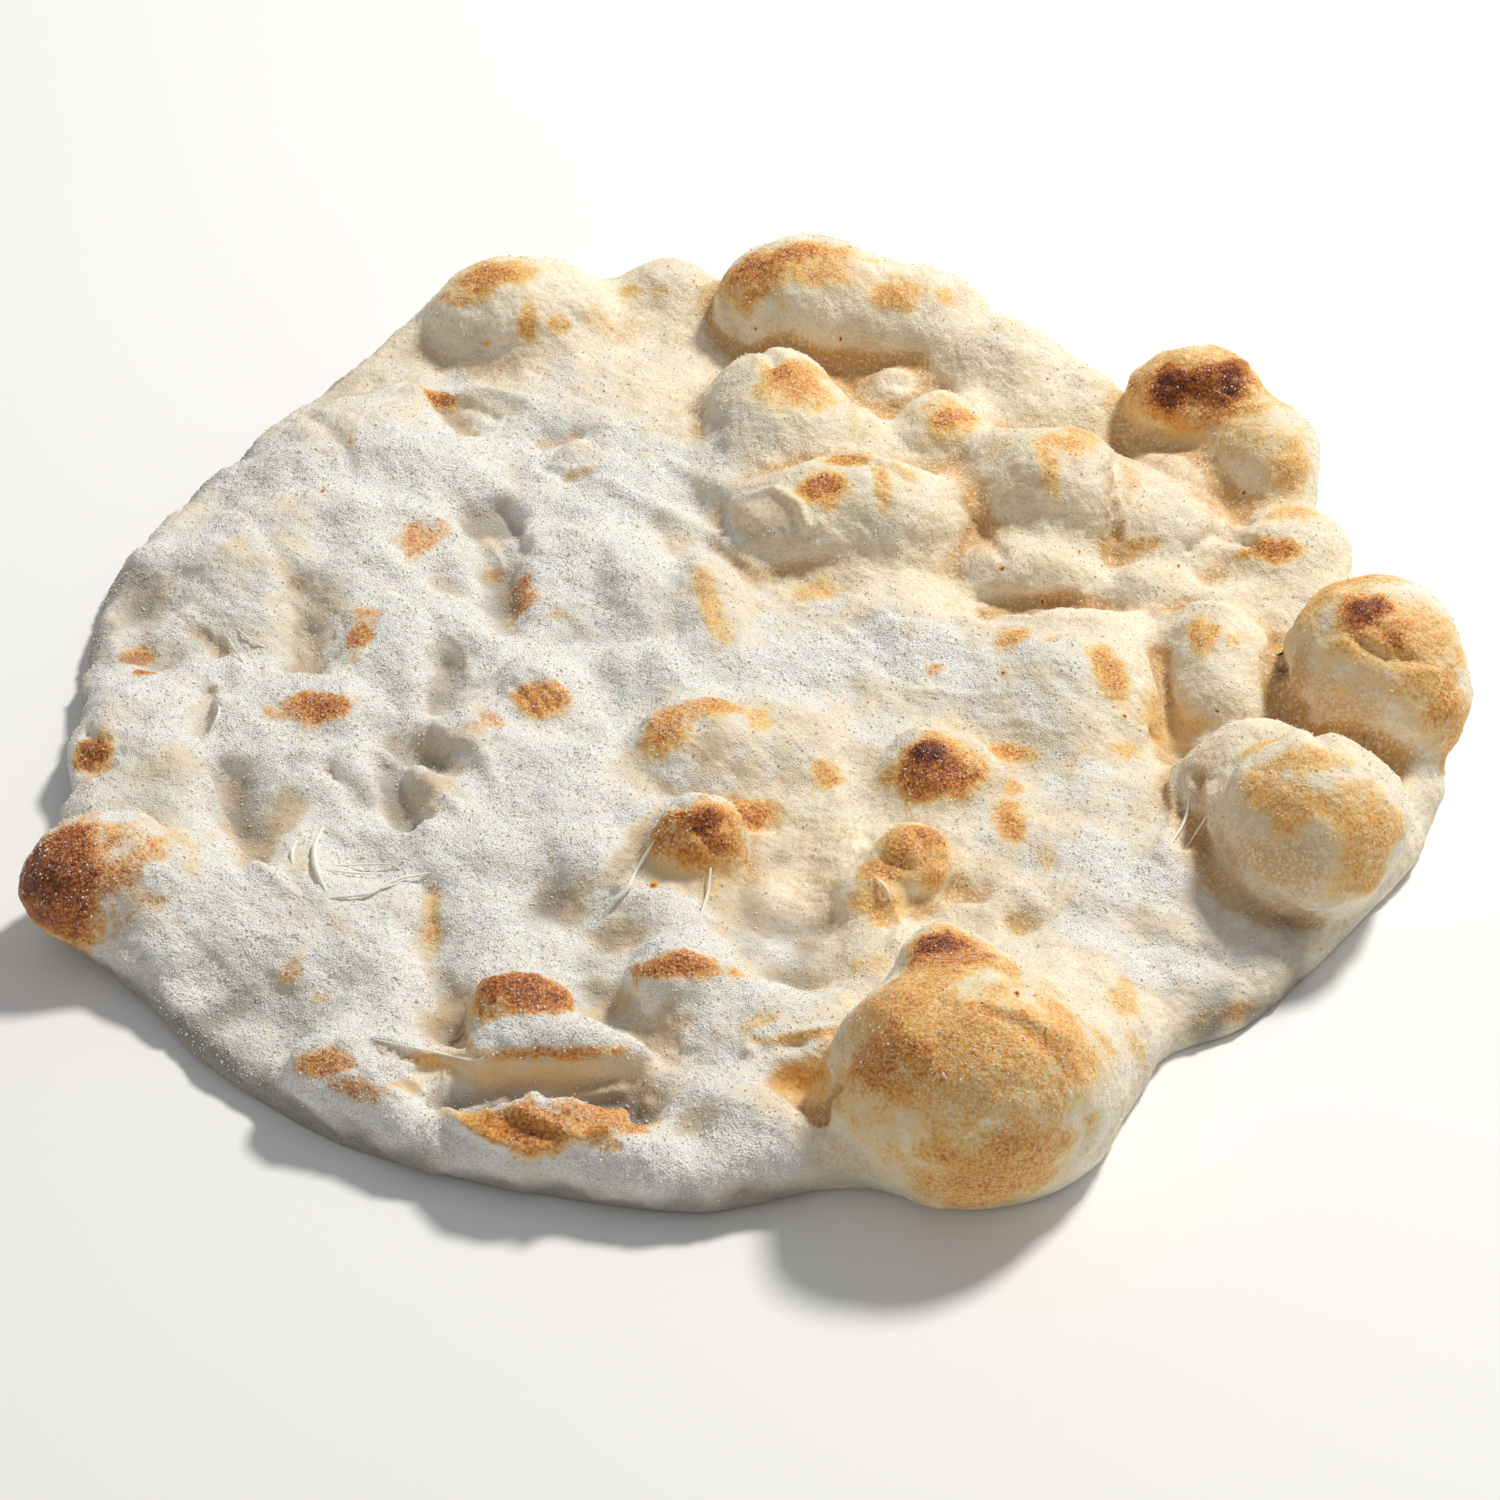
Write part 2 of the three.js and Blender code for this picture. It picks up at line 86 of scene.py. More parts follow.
# Bubbles: x, y, height of the middle, half length, half width, half height, softness, turn in degrees if any.
BUBBLES = [
    # along the rim, from the right
    (133, -7, 19, 20, 20, 20, 4), (139, -16, 17, 13, 13, 13, 8), (113, -58, 19, 20, 20, 20, 3),
    (104, -42, 14, 17, 16, 15, 6), (121, -47, 13, 14, 15, 14, 6), (38, -131, 20, 27, 23, 24, 6),
    (39, -114, 18, 18, 16, 16, 8), (34, -107, 27, 8, 8, 8, 6), (57, -123, 14, 14, 17, 13, 10),
    (56, -104, 7, 20, 20, 11, 12), (17, -131, 9, 15, 11, 11, 9), (-5, -132, 7, 26, 11, 8, 8),
    (-136, -69, 14, 18, 14, 14, 7, 15), (-118, -68, 7, 26, 18, 9, 10), (-142, -22, 9, 8, 9, 6, 6),
    (-60, 134, 10, 24, 18, 17, 9), (-24, 146, 11, 13, 9, 9, 6), (11, 133, 17, 23, 17, 17, 6),
    (36, 128, 15, 20, 16, 14, 8, -15), (57, 111, 12, 21, 15, 13, 7, -35), (75, 98, 10, 12, 11, 10, 6, -30),
    (103, 91, 19, 17, 11, 13, 6), (118, 74, 14, 13, 15, 13, 11, 15), (123, 44, 9, 12, 13, 10, 6),
    # inside, from the back right
    (3, 90, 13, 17, 22, 15, 9), (-4, 70, 9, 13, 12, 8, 9), (31, 103, 11, 6, 6, 6, 7),
    (12, 80, 11, 20, 18, 12, 8), (62, 98, 8, 24, 16, 10, 10), (94, 58, 7, 13, 20, 11, 8),
    (43, 83, 13, 12, 13, 11, 7), (56, 71, 12, 9, 11, 11, 7), (46, 60, 8, 9, 12, 9, 8),
    (67, 59, 13, 18, 18, 17, 7), (7, 50, 11, 15, 14, 14, 8), (25, 51, 12, 21, 16, 16, 10),
    (62, 37, 9, 16, 11, 9, 6), (93, 50, 8, 11, 16, 10, 5, 20), (88, 31, 7, 12, 8, 8, 5),
    (106, 25, 6, 10, 8, 7, 5), (117, 42, 9, 10, 8, 8, 5), (68, -2, 6, 23, 25, 13, 9),
    (34, 8, 5, 20, 18, 9, 9), (22, 26, 5, 20, 12, 9, 8), (80, 68, 6, 16, 12, 9, 7),
    (28, 74, 7, 24, 12, 9, 7), (100, 2, 9, 14, 20, 12, 6), (37, -33, 11, 12, 11, 9, 7),
    (30, -62, 11, 9, 9, 9, 5), (21, -70, 9, 8, 9, 6, 6), (75, -60, 3, 26, 32, 10, 9),
    (-14, -26, 9, 15, 14, 12, 6), (3, -22, 7, 14, 14, 8, 8), (-13, -57, 13, 13, 11, 13, 6, 20),
    (-17, -93, 11, 12, 10, 9, 5, 15), (2, -104, 6, 20, 15, 9, 8), (-51, -106, 11, 14, 10, 11, 4),
    (-46, -115, 10, 24, 7, 9, 5), (-42, -135, 10, 18, 9, 9, 4),
    # inside, the floured left half
    (-98, -10, 8, 13, 10, 7, 7), (-10, 0, 5, 26, 14, 8, 8), (-24, -66, 5, 22, 18, 7, 8),
    (20, -88, 5, 22, 12, 7, 8), (-50, -6, 9, 11, 10, 8, 6, -30), (-63, -14, 9, 6, 9, 6, 6, -30),
    (-13, 20, 9, 9, 22, 9, 6, 12), (-29, 32, 8, 8, 20, 8, 7, 12), (-38, 92, 6, 26, 30, 9, 10),
    (-46, 48, 6, 12, 18, 8, 8), (-92, 78, 7, 27, 25, 11, 10, -20), (-106, 40, 7, 24, 26, 10, 10),
    (-84, 46, 7, 15, 17, 8, 8), (-80, 12, 6, 20, 16, 9, 8), (-128, -20, 5, 20, 22, 10, 9),
    (-58, -52, 6, 22, 28, 8, 10), (-88, -76, 5, 20, 14, 9, 8), (-35, -45, 5, 18, 20, 8, 9),
    (-96, -88, 8, 6, 9, 5, 6), (-83, -118, 10, 12, 9, 7, 7), (-74, -98, 6, 12, 14, 8, 8),
]
BUBBLE_REACH = 14

# Hollows and grooves: x and y of the start and of the end, width, depth.
HOLLOWS = [
    (-115, -34, -107, -60, 5, 6), (-82, -28, -75, -48, 4, 6), (-80, -19, -68, -30, 4, 5),
    (-94, -30, -86, -40, 3, 3), (-122, -6, -123, -20, 4, 4), (-106, 28, -102, 6, 5, 6),
    (-77, 102, -72, 88, 5, 5), (-52, 84, -46, 85, 5, 4), (-65, 58, -60, 40, 5, 7), (-60, 34, -59, 20, 4, 6),
    (-71, 4, -72, -9, 4, 6), (-147, 38, -143, 26, 5, 4), (-140, 12, -134, 8, 4, 3),
    (-127, 16, -122, 10, 4, 3), (-74, 34, -66, 26, 4, 3), (-108, -100, -98, -108, 9, 6),
    (-45, -70, -33, -80, 7, 4), (2, -50, 8, -88, 9, 7), (-35, -94, -31, -101, 5, 4),
    (-24, -108, -18, -112, 5, 2), (5, -124, 12, -132, 5, 8), (-66, -94, -61, -114, 5, 5),
    (-69, -70, -70, -90, 4, 3), (88, 4, 89, -22, 4, 4), (50, 22, 66, 27, 4, 2), (72, 26, 98, 23, 5, 1),
    (-22, -132, -14, -138, 7, 4), (42, -67, 44, -68, 4, 3), (52, -77, 53, -78, 4, 3),
    (-64, -126, -26, -126, 5, 9),
]
FULL_DEPTH_AT = 9
NO_DEPTH_AT = 1

# ---- Finer form, which the plain solid leaves out.
CUTS = 6  # each of the solid's triangles is cut into this many each way
SHARPNESS = 0.82  # share of the solid's softness that joints between bubbles keep
SETTLE_STEPS = 4
SLIDES = 8
SLIDE_SHARE = 0.5
HOLLOW_PASSES = 50
GRADIENT_STEP = 0.05
LEAST_SLOPE = 0.2
LONGEST_MOVE = 2
ON_FLOOR = 1e-4  # points under this height belong to the flat foot
FADE_HEIGHT = 3  # fine relief fades out towards the floor, under this height
FOOT_TOP = 10  # the rim's grey foot, partly painted shade and partly bare grey dough, ends here
FOOT_FULL = 3.5  # and is whole under this height
LINE_LIFT = 1.4  # how much taller the creases and ridges are than their rows say
LINE_REACH = 8  # how far from its line a crease or ridge is worked out
BOX_GAP = 0.02  # what the points keep from the solid's box
# The dough's unevenness: length, height, what flour adds to the height, and the share that smooth skin keeps.
RELIEF = [(24, 0.35, 0.4, 0.3), (10, 0.16, 0.1, 0), (4.5, 0.09, 0.02, 0), (2.1, 0.07, 0.03, 0)]
SMOOTH_SKIN = 0.85  # the share of the finer unevenness that stretched skin loses

# Pockets that a burst blister leaves, in rows like the bubbles'.
POCKETS = [
    (-45, -128, 17, 23, 6, 8, 2), (-73, -117, 16, 6, 2, 4, 2, -15),
]

# Creases (below 0) and ridges (above 0): height, width, then x and y of each place they run through, as read.
LINES = [
    # the back left
    (1, 2, -45, 86, -53, 75, -42, 77), (-1.2, 1.8, -53, 77, -47, 74, -42, 75),
    (-1.4, 2.2, -62, 62, -60, 54, -56, 45), (0.9, 2.5, -66, 60, -64, 48, -60, 38),
    (-1, 1.6, -78, 100, -73, 102, -66, 98), (0.9, 2, -86, 108, -70, 109, -56, 103),
    (1, 2.4, -40, 72, -30, 65, -14, 54, -2, 38), (-0.9, 2, -26, 58, -18, 44, -8, 36),
    (0.8, 2.4, -22, 80, -10, 68, -2, 58), (1.1, 1.2, -8, 56, -5, 66, 2, 69, 8, 62, 9, 54),
    (-0.8, 2, -110, 98, -100, 86, -98, 76), (-0.7, 2, -126, 62, -116, 52, -112, 44),
    (0.8, 3, -100, 60, -88, 62, -76, 56), (-0.8, 2.2, -84, 34, -76, 26, -74, 16),
    # the left
    (1.2, 1.6, -119, -34, -113, -48, -107, -60, -100, -66), (1, 1.6, -83, -24, -75, -30, -66, -42),
    (0.9, 1.6, -72, -16, -62, -22, -58, -30), (1, 1.4, -122, -2, -119, -10, -122, -18),
    (-0.9, 1.5, -150, -17, -146, -20, -141, -18), (-0.9, 1.5, -150, -23, -145, -25, -141, -23),
    (-0.9, 1.3, -149, -28, -145, -30, -142, -28), (0.7, 2.2, -131, 22, -121, 14, -117, 4),
    (-1, 1.6, -68, -17, -64, -8, -60, -3), (-0.6, 1, -54, 2, -50, -4, -47, -10),
    (-0.6, 1, -51, 3, -47, -3, -45, -8), (-0.6, 1, -57, -1, -53, -7, -50, -12),
    (0.8, 2, -100, -24, -88, -22, -80, -26),
    # the front left
    (1.5, 1.5, -71, -119, -67, -125, -61, -130, -54, -136, -47, -140, -40, -139, -31, -133, -24, -127),
    (1.2, 1.3, -60, -129, -52, -126, -46, -126, -38, -124, -28, -123),
    (-0.9, 1.2, -52, -130, -46, -133, -41, -138), (0.8, 1, -49, -129, -43, -132, -36, -136),
    (1, 1.4, -84, -110, -76, -110, -66, -114, -56, -115), (-0.8, 1.6, -66, -116, -70, -119, -76, -119),
    (0.9, 2.2, -42, -91, -34, -93, -27, -90), (-0.9, 2, -60, -100, -63, -106, -60, -113),
    # the middle
    (0.9, 1.2, -12, -37, -19, -40, -24, -48, -27, -58, -31, -66),
    (-0.7, 1.2, -6, -40, -8, -46, -2, -48, 2, -47), (-0.7, 1.1, -14, -48, -11, -54, -9, -58),
    (0.6, 1.1, -18, -46, -10, -43, -4, -42), (-0.8, 1.2, 22, -50, 24, -58, 30, -62, 38, -58),
    (0.8, 1.1, 22, -63, 26, -68, 28, -76, 27, -82), (-0.7, 1.2, 32, -50, 34, -57, 40, -52),
    (1.2, 1.3, 14, -106, 8, -107, 0, -110, -4, -112), (-1.4, 1.5, 14, -108, 6, -109, -2, -111),
    (1, 1.3, 12, -110, 14, -120, 13, -130, 10, -137), (-0.8, 1.6, 20, 20, 32, 22, 44, 20),
    (0.7, 1.2, 32, -3, 38, -4, 46, -6),
    # the right
    (0.8, 1.8, 50, 24, 60, 22, 75, 21, 88, 24, 105, 24), (-1.3, 2, 50, 28, 64, 26, 80, 26),
    (-1.8, 1.8, 115, 14, 114, 0, 116, -12, 122, -20), (-1.5, 1.6, 100, 46, 106, 52, 112, 50),
    (-1.4, 1.5, 86, -18, 90, -24, 92, -32), (1.1, 1.4, 88, -30, 87, -42, 83, -57),
    (-1, 1.2, 92, -32, 91, -46, 88, -54), (0.9, 1.2, 94, -36, 94, -46, 91, -56),
    (-1.2, 1.8, 94, -48, 97, -60, 104, -70, 112, -77), (-1, 1.6, 48, 62, 50, 52, 54, 44),
    (-1.3, 1.6, 84, 80, 83, 64, 82, 50), (-1.2, 1.6, 85, 86, 96, 76, 108, 66, 112, 56),
    (-1.2, 1.8, 30, 112, 42, 110, 52, 104), (-1.2, 1.8, -10, 142, -8, 130, 2, 120),
    (-1, 1.6, 20, 112, 26, 100, 22, 88), (0.6, 1.4, 0, 80, 14, 80, 26, 80, 36, 74),
    (-0.6, 0.9, 130, 18, 134, 12, 139, 6), (-0.6, 0.9, 134, 14, 140, 8, 146, 6),
    (-0.5, 0.9, 138, 20, 142, 10, 150, 4), (-0.6, 1, 96, 112, 104, 106, 112, 110),
    (-0.6, 1, 104, 118, 106, 108, 103, 99), (-0.6, 1, 112, 118, 113, 108, 120, 104),
    (-0.6, 1.4, 44, -101, 52, -106, 57, -112), (0.6, 1.4, 42, -99, 52, -102, 60, -110),
    (0.8, 2, 66, -90, 74, -98, 76, -106), (-0.6, 2, 72, -72, 80, -80, 92, -86),
]

# Lumps (above 0) and dents (below 0), as read: x, y, height, width, depth as read.
LUMPS = [
    (118, 117, 2.2, 4, 5), (112, 110, 0.8, 6, 6), (98, 108, 0.8, 6, 7), (105, 100, -0.8, 5, 5),
    (137, 22, -0.9, 7, 7), (128, 26, 0.6, 8, 8), (148, 2, 0.8, 8, 12), (36, -84, 0.8, 9, 9),
    (27, -111, 0.7, 12, 9), (48, -108, -0.6, 9, 8), (60, -112, 0.8, 8, 14), (37, -22, 0.7, 8, 7),
    (-51, -94, 0.6, 14, 8), (-120, -92, -1, 14, 10), (-100, -100, -1, 14, 12), (-26, -130, -1.2, 12, 10),
    (-10, -126, 0.9, 16, 9), (-70, -60, 0.9, 16, 12), (-50, -66, -0.9, 14, 12), (-40, -30, 0.9, 18, 14),
    (-30, 10, 0.9, 14, 10), (-74, 34, -0.9, 10, 16), (-110, 60, 0.8, 18, 16), (-92, 96, 0.9, 16, 14),
    (-54, 116, -0.9, 16, 10), (-28, 112, 0.8, 16, 14), (60, 5, 0.6, 18, 16), (48, -62, -0.9, 14, 10),
    (62, -84, 0.9, 16, 10), (84, -70, -0.8, 14, 12), (70, -34, 0.7, 20, 16), (98, 32, 0.7, 10, 8),
    (12, -50, -1, 12, 14), (24, 2, 0.7, 16, 10), (-90, -48, 0.8, 9, 16), (-84, -30, 0.7, 12, 10),
]

# ---- Colour, as read: x, y, width, depth as read, strength in hundredths, turn in degrees if any.
# Toast: 30 is pale gold, 60 orange brown, 80 brown, 100 nearly black.
SPOTS = [
    # the back left
    (-99, -8, 19, 12, 74, 8), (-140, 8, 7, 5, 70), (-138, 4, 5, 4, 75), (-131, 4, 6, 8, 35),
    (-92, 17, 9, 20, 66, -5), (-80, 50, 10, 13, 60, -20), (-75, 54, 6, 6, 50), (-92, 48, 6, 5, 22),
    (-94, 35, 6, 6, 20), (-78, 103, 9, 5, 78), (-99, 88, 3, 3, 40), (-106, 82, 6, 10, 30, -30),
    (-82, 72, 12, 10, 22), (-88, 70, 8, 8, 24), (-92, 84, 24, 26, 14), (-115, 45, 18, 18, 13),
    (-122, 48, 8, 6, 25), (-70, 158, 20, 14, 66, 10), (-58, 137, 5, 14, 55), (-50, 135, 6, 8, 42),
    (-40, 136, 8, 8, 26), (-34, 150, 6, 6, 38), (-27, 150, 6, 5, 42), (-70, 126, 3, 3, 45),
    (-28, 83, 5, 5, 30), (-22, 98, 6, 6, 20), (-44, 76, 10, 3, 40, 10), (-56, 30, 6, 15, 72),
    (-61, 36, 5, 4, 50), (-48, 24, 7, 4, 40), (-44, 18, 10, 4, 30), (-50, -4, 13, 15, 66, -25),
    (-60, -12, 8, 12, 55, -25), (-33, 53, 8, 8, 25), (-12, 28, 6, 26, 42, 15),
    # the back right
    (-4, 158, 18, 20, 66, 25), (6, 166, 32, 9, 70, 8), (14, 160, 20, 12, 50), (33, 150, 13, 14, 55),
    (47, 148, 6, 8, 36), (8, 112, 17, 18, 62), (4, 116, 10, 8, 70), (14, 70, 12, 12, 74),
    (20, 80, 12, 5, 60), (28, 70, 4, 18, 46, 5), (34, 76, 8, 5, 35), (12, 33, 12, 7, 40),
    (45, 98, 12, 14, 66), (72, 88, 13, 9, 54), (68, 80, 5, 22, 42, 5), (77, 90, 8, 10, 40),
    (55, 85, 8, 8, 28), (99, 109, 13, 20, 98), (105, 108, 38, 32, 64), (106, 111, 30, 18, 86),
    (115, 111, 10, 18, 96), (93, 99, 14, 14, 50), (118, 90, 20, 22, 30), (126, 78, 11, 22, 45),
    (123, 62, 12, 8, 45), (116, 46, 13, 9, 72), (87, 47, 9, 6, 48), (98, 16, 7, 13, 52),
    (105, 14, 4, 4, 40), (108, 15, 4, 4, 30), (55, 15, 9, 8, 54), (64, 14, 4, 3, 40),
    (77, 3, 7, 18, 58, 12), (38, 5, 7, 6, 54, 20), (30, 15, 8, 6, 20), (56, 2, 8, 6, 14),
    (136, 25, 13, 11, 90), (142, 17, 11, 15, 66), (143, 16, 34, 30, 46), (146, 6, 16, 32, 46),
    (133, 19, 10, 18, 50, 20), (150, -8, 10, 24, 54), (151, -20, 9, 20, 50), (130, 34, 28, 10, 50),
    (122, 26, 10, 18, 42),
    # the left
    (-147, -23, 9, 15, 78), (-154, -63, 18, 36, 92), (-144, -62, 42, 44, 60), (-148, -56, 22, 24, 84),
    (-148, -74, 22, 24, 84), (-140, -64, 22, 18, 62), (-138, -50, 20, 16, 50), (-146, -84, 18, 10, 70),
    (-124, -48, 12, 12, 34), (-128, -56, 6, 7, 55), (-134, -63, 8, 8, 50), (-87, -78, 5, 12, 30, 30),
    (-74, -83, 4, 8, 32, 30), (-69, -79, 4, 24, 42), (-97, -87, 6, 12, 46, -15), (-90, -97, 5, 6, 38),
    (-88, -116, 12, 10, 66), (-82, -123, 14, 9, 60, -20), (-70, -114, 14, 3, 42, -8),
    (-104, -45, 9, 26, 24, -12), (-70, -37, 7, 16, 26, -20), (-83, -15, 8, 4, 30),
    # the front left
    (-51, -94, 24, 13, 84), (-52, -95, 6, 5, 92), (-18, -88, 20, 10, 76, 8), (-26, -91, 5, 7, 60),
    (-42, -115, 30, 5, 60), (-48, -121, 42, 8, 24), (-46, -133, 30, 15, 68, -8),
    (-31, -130, 24, 11, 62, 10), (-48, -134, 12, 9, 72, -20), (-2, -104, 8, 5, 42, 20), (20, -88, 9, 5, 36),
    (6, -108, 20, 3, 45, 8), (8, -122, 10, 12, 50), (-32, -99, 8, 8, 34),
    # the middle
    (-22, -13, 12, 16, 60, -35), (-12, -7, 20, 8, 56, 10), (-2, -12, 7, 6, 44), (13, -30, 6, 9, 52),
    (-14, -45, 15, 11, 90, 10), (-12, -51, 24, 26, 66), (-3, -44, 11, 11, 70, -30), (-9, -55, 8, 8, 70),
    (31, -51, 18, 10, 60), (24, -60, 12, 12, 58), (36, -60, 7, 16, 50), (23, -70, 12, 12, 50),
    (36, -50, 8, 6, 72), (36, -24, 12, 10, 100), (37, -28, 20, 20, 80), (31, -27, 8, 14, 76),
    (52, -24, 11, 6, 60), (57, -24, 5, 5, 42), (53, -36, 5, 5, 42), (51, -46, 7, 11, 64, 10),
    (59, -56, 5, 8, 36), (79, -23, 7, 7, 38), (66, -28, 4, 12, 28, -20), (88, -18, 6, 14, 40),
    (93, -16, 5, 8, 40), (86, -10, 5, 14, 34), (105, -87, 8, 9, 26), (94, -103, 12, 6, 62, 20),
    # the two big bubbles at the right
    (108, -20, 10, 5, 44), (108, -29, 15, 8, 46, 25), (117, -26, 15, 8, 46), (112, -41, 17, 17, 46),
    (127, -40, 15, 15, 36), (129, -52, 17, 26, 48), (127, -64, 14, 16, 46),
    # the front bubble
    (36, -83, 13, 11, 92), (38, -86, 20, 15, 70), (28, -97, 22, 20, 54, 30), (39, -102, 18, 10, 44),
    (72, -98, 6, 15, 42, -15), (66, -107, 11, 4, 36), (74, -112, 6, 6, 34), (23, -114, 26, 22, 66),
    (36, -112, 58, 40, 50), (45, -101, 12, 6, 60, -25), (54, -109, 13, 7, 60, -45), (61, -112, 14, 30, 50),
    (44, -147, 36, 32, 58), (34, -126, 30, 14, 48), (58, -94, 10, 6, 30), (20, -138, 16, 18, 25),
]
# Small dark dots, as read: x, y, width.
DOTS = [
    (-24, -65, 1.5), (51, -96, 1.1), (54, 39, 1.2), (112, 67, 1.2), (52, 2, 1), (96, 41, 1), (74, 47, 0.9),
    (-3, 132, 1), (70, 114, 0.9), (80, -12, 0.9), (99, -10, 0.9), (64, 26, 1), (-104, 68, 1.1),
    (20, 128, 0.9), (90, -46, 0.9),
]

# Bare tan dough where a skin is stretched thin, and painted warm shade on faces turned from the light and
# deep in the valleys.
TAN_AND_SHADE = [
    (108, -60, 34, 34, 100), (102, -48, 12, 30, 55), (95, -58, 8, 22, 95), (106, -75, 16, 8, 95),
    (126, -8, 26, 34, 90), (117, 0, 5, 34, 120), (118, 18, 10, 22, 80), (140, -25, 20, 14, 40),
    (92, 92, 18, 18, 40), (94, 80, 34, 10, 80, -32), (106, 64, 14, 14, 100, -30), (112, 56, 12, 8, 80),
    (104, 84, 20, 14, 50), (114, 30, 20, 8, 60, 15), (50, 50, 9, 22, 100, 10), (44, 92, 20, 12, 50),
    (56, 72, 16, 20, 45, 20), (83, 64, 5, 30, 85), (82, 46, 8, 10, 70), (74, 62, 14, 20, 35),
    (24, 112, 20, 12, 90), (40, 112, 22, 9, 70, 10), (22, 98, 6, 26, 60), (-9, 134, 12, 26, 60),
    (2, 132, 14, 16, 40), (-22, 122, 16, 30, 40), (0, 62, 18, 14, 60), (-6, 50, 14, 10, 70),
    (-12, 90, 10, 34, 35), (38, 42, 14, 8, 60), (13, 34, 22, 8, 70), (60, 96, 30, 6, 40),
    (88, 4, 5, 36, 70), (87, -16, 10, 16, 90), (92, -40, 5, 34, 90, 8), (114, -24, 5, 6, 60),
    (-29, -31, 14, 20, 50), (-18, -62, 16, 14, 100), (-10, -58, 10, 12, 70), (22, -68, 14, 18, 70),
    (44, -67, 12, 10, 70), (52, -74, 8, 10, 60), (-34, -98, 10, 12, 90), (-29, -101, 8, 8, 80),
    (-62, -104, 8, 20, 60), (-46, -122, 44, 9, 90), (8, -123, 12, 12, 100), (6, -108, 20, 4, 80, 5),
    (22, -132, 22, 20, 80), (16, -142, 16, 14, 70), (56, -134, 16, 24, 30), (-106, -46, 9, 26, 60, -12),
    (-70, -38, 6, 18, 80, -25), (-68, -25, 12, 7, 80, -25), (-90, -36, 10, 5, 70, -30),
    (-86, -64, 18, 8, 60), (-91, -76, 10, 12, 50, 20), (-70, -114, 16, 4, 80, -8),
    (-100, 20, 8, 26, 50, -8), (-56, 40, 5, 34, 60), (-68, -3, 8, 14, 50), (10, -70, 12, 36, 55),
    (60, -58, 12, 14, 30), (70, 20, 40, 5, 30), (100, 34, 22, 6, 40), (48, 24, 16, 6, 40),
    (66, 110, 26, 10, 30, -20),
]

# Flour, on the level instead of as read. The strengths add up, within 0 to 100.
FLOUR = [
    (0, 0, 420, 420, 16), (-95, -15, 180, 300, 50), (-50, -15, 130, 300, 30), (-118, -14, 40, 40, 30),
    (-28, 55, 60, 60, 20, 20), (30, 0, 90, 44, 40, -8), (22, 4, 50, 18, 30), (26, -30, 24, 40, 25),
    (-46, -48, 34, 30, 20), (-4, -96, 50, 60, 35), (-10, -138, 60, 40, 30), (62, -40, 50, 60, 30),
    (84, -78, 60, 46, 50, -20), (-128, 66, 50, 70, 30, -30), (-78, -112, 130, 40, 35, 15),
    (-122, -98, 100, 60, 50, -42), (-56, -138, 120, 50, 45, -6), (-112, 42, 34, 40, -25),
    (-102, 84, 34, 26, -30), (-60, 130, 50, 44, -30), (-128, -60, 26, 26, -20), (-78, -74, 50, 34, -10),
    (-60, 44, 26, 26, -15), (20, -52, 50, 40, -25), (-22, -30, 16, 20, -20),
]
# Where the flour lies thin, with painted shade on the dough that shows through, as read.
THIN_FLOUR_AND_SHADE = [
    (-71, -24, 26, 15, 65), (-76, -39, 15, 20, 70, -15), (-60, 38, 18, 18, 50), (-70, 4, 14, 20, 50),
    (-106, 20, 16, 26, 50), (-48, -8, 14, 16, 50, -25), (-126, -30, 18, 12, 50), (-41, -71, 12, 16, 75),
    (-30, -81, 14, 12, 75), (-5, -70, 18, 22, 70), (11, -74, 13, 42, 85), (4, -50, 14, 20, 60),
    (-14, -22, 12, 14, 80), (16, -42, 22, 30, 55), (-20, -107, 9, 14, 80, -20), (-62, -104, 8, 22, 70),
    (-69, -79, 7, 26, 60), (-30, -58, 9, 18, 70, -15), (-65, -3, 9, 14, 50), (-100, 20, 8, 30, 60, -5),
    (-122, -12, 8, 18, 60), (-104, -48, 10, 28, 75, -12), (-98, -96, 18, 12, 50, -30),
    (-118, -80, 20, 14, 30), (-88, -68, 30, 16, 30), (-74, -72, 20, 14, 35), (-30, -127, 22, 10, 50),
    (-15, -131, 16, 10, 60), (0, -126, 16, 12, 45), (24, -42, 14, 30, 50), (28, -8, 20, 16, 35),
    (10, -18, 16, 16, 35), (80, -74, 20, 12, 50), (-140, 32, 12, 14, 60), (-134, 62, 18, 26, 50, -30),
    (-62, 56, 10, 26, 40, -10), (-46, 84, 14, 10, 45), (-38, 40, 12, 30, 30), (-10, 30, 16, 36, 50, 10),
    (-22, 48, 14, 18, 35), (-70, -26, 16, 8, 50, -30), (-84, -36, 16, 10, 40), (-96, -58, 8, 14, 50),
    (-60, -114, 14, 8, 50), (-72, 98, 10, 14, 50), (-26, 110, 20, 20, 40),
]
# Smooth stretched skin without flour or pimples, as read.
TAUT = [
    (106, -60, 26, 30, 100), (124, -8, 24, 32, 100), (92, 88, 18, 18, 100), (100, 72, 30, 14, 80, -30),
    (22, -136, 30, 24, 90), (0, 61, 16, 14, 100), (-28, -31, 14, 18, 50), (-18, -63, 16, 12, 100),
    (-48, -121, 46, 9, 100), (8, -123, 12, 12, 100), (0, 134, 16, 16, 60), (-63, -105, 8, 18, 60),
    (-148, -78, 20, 18, 30),
]

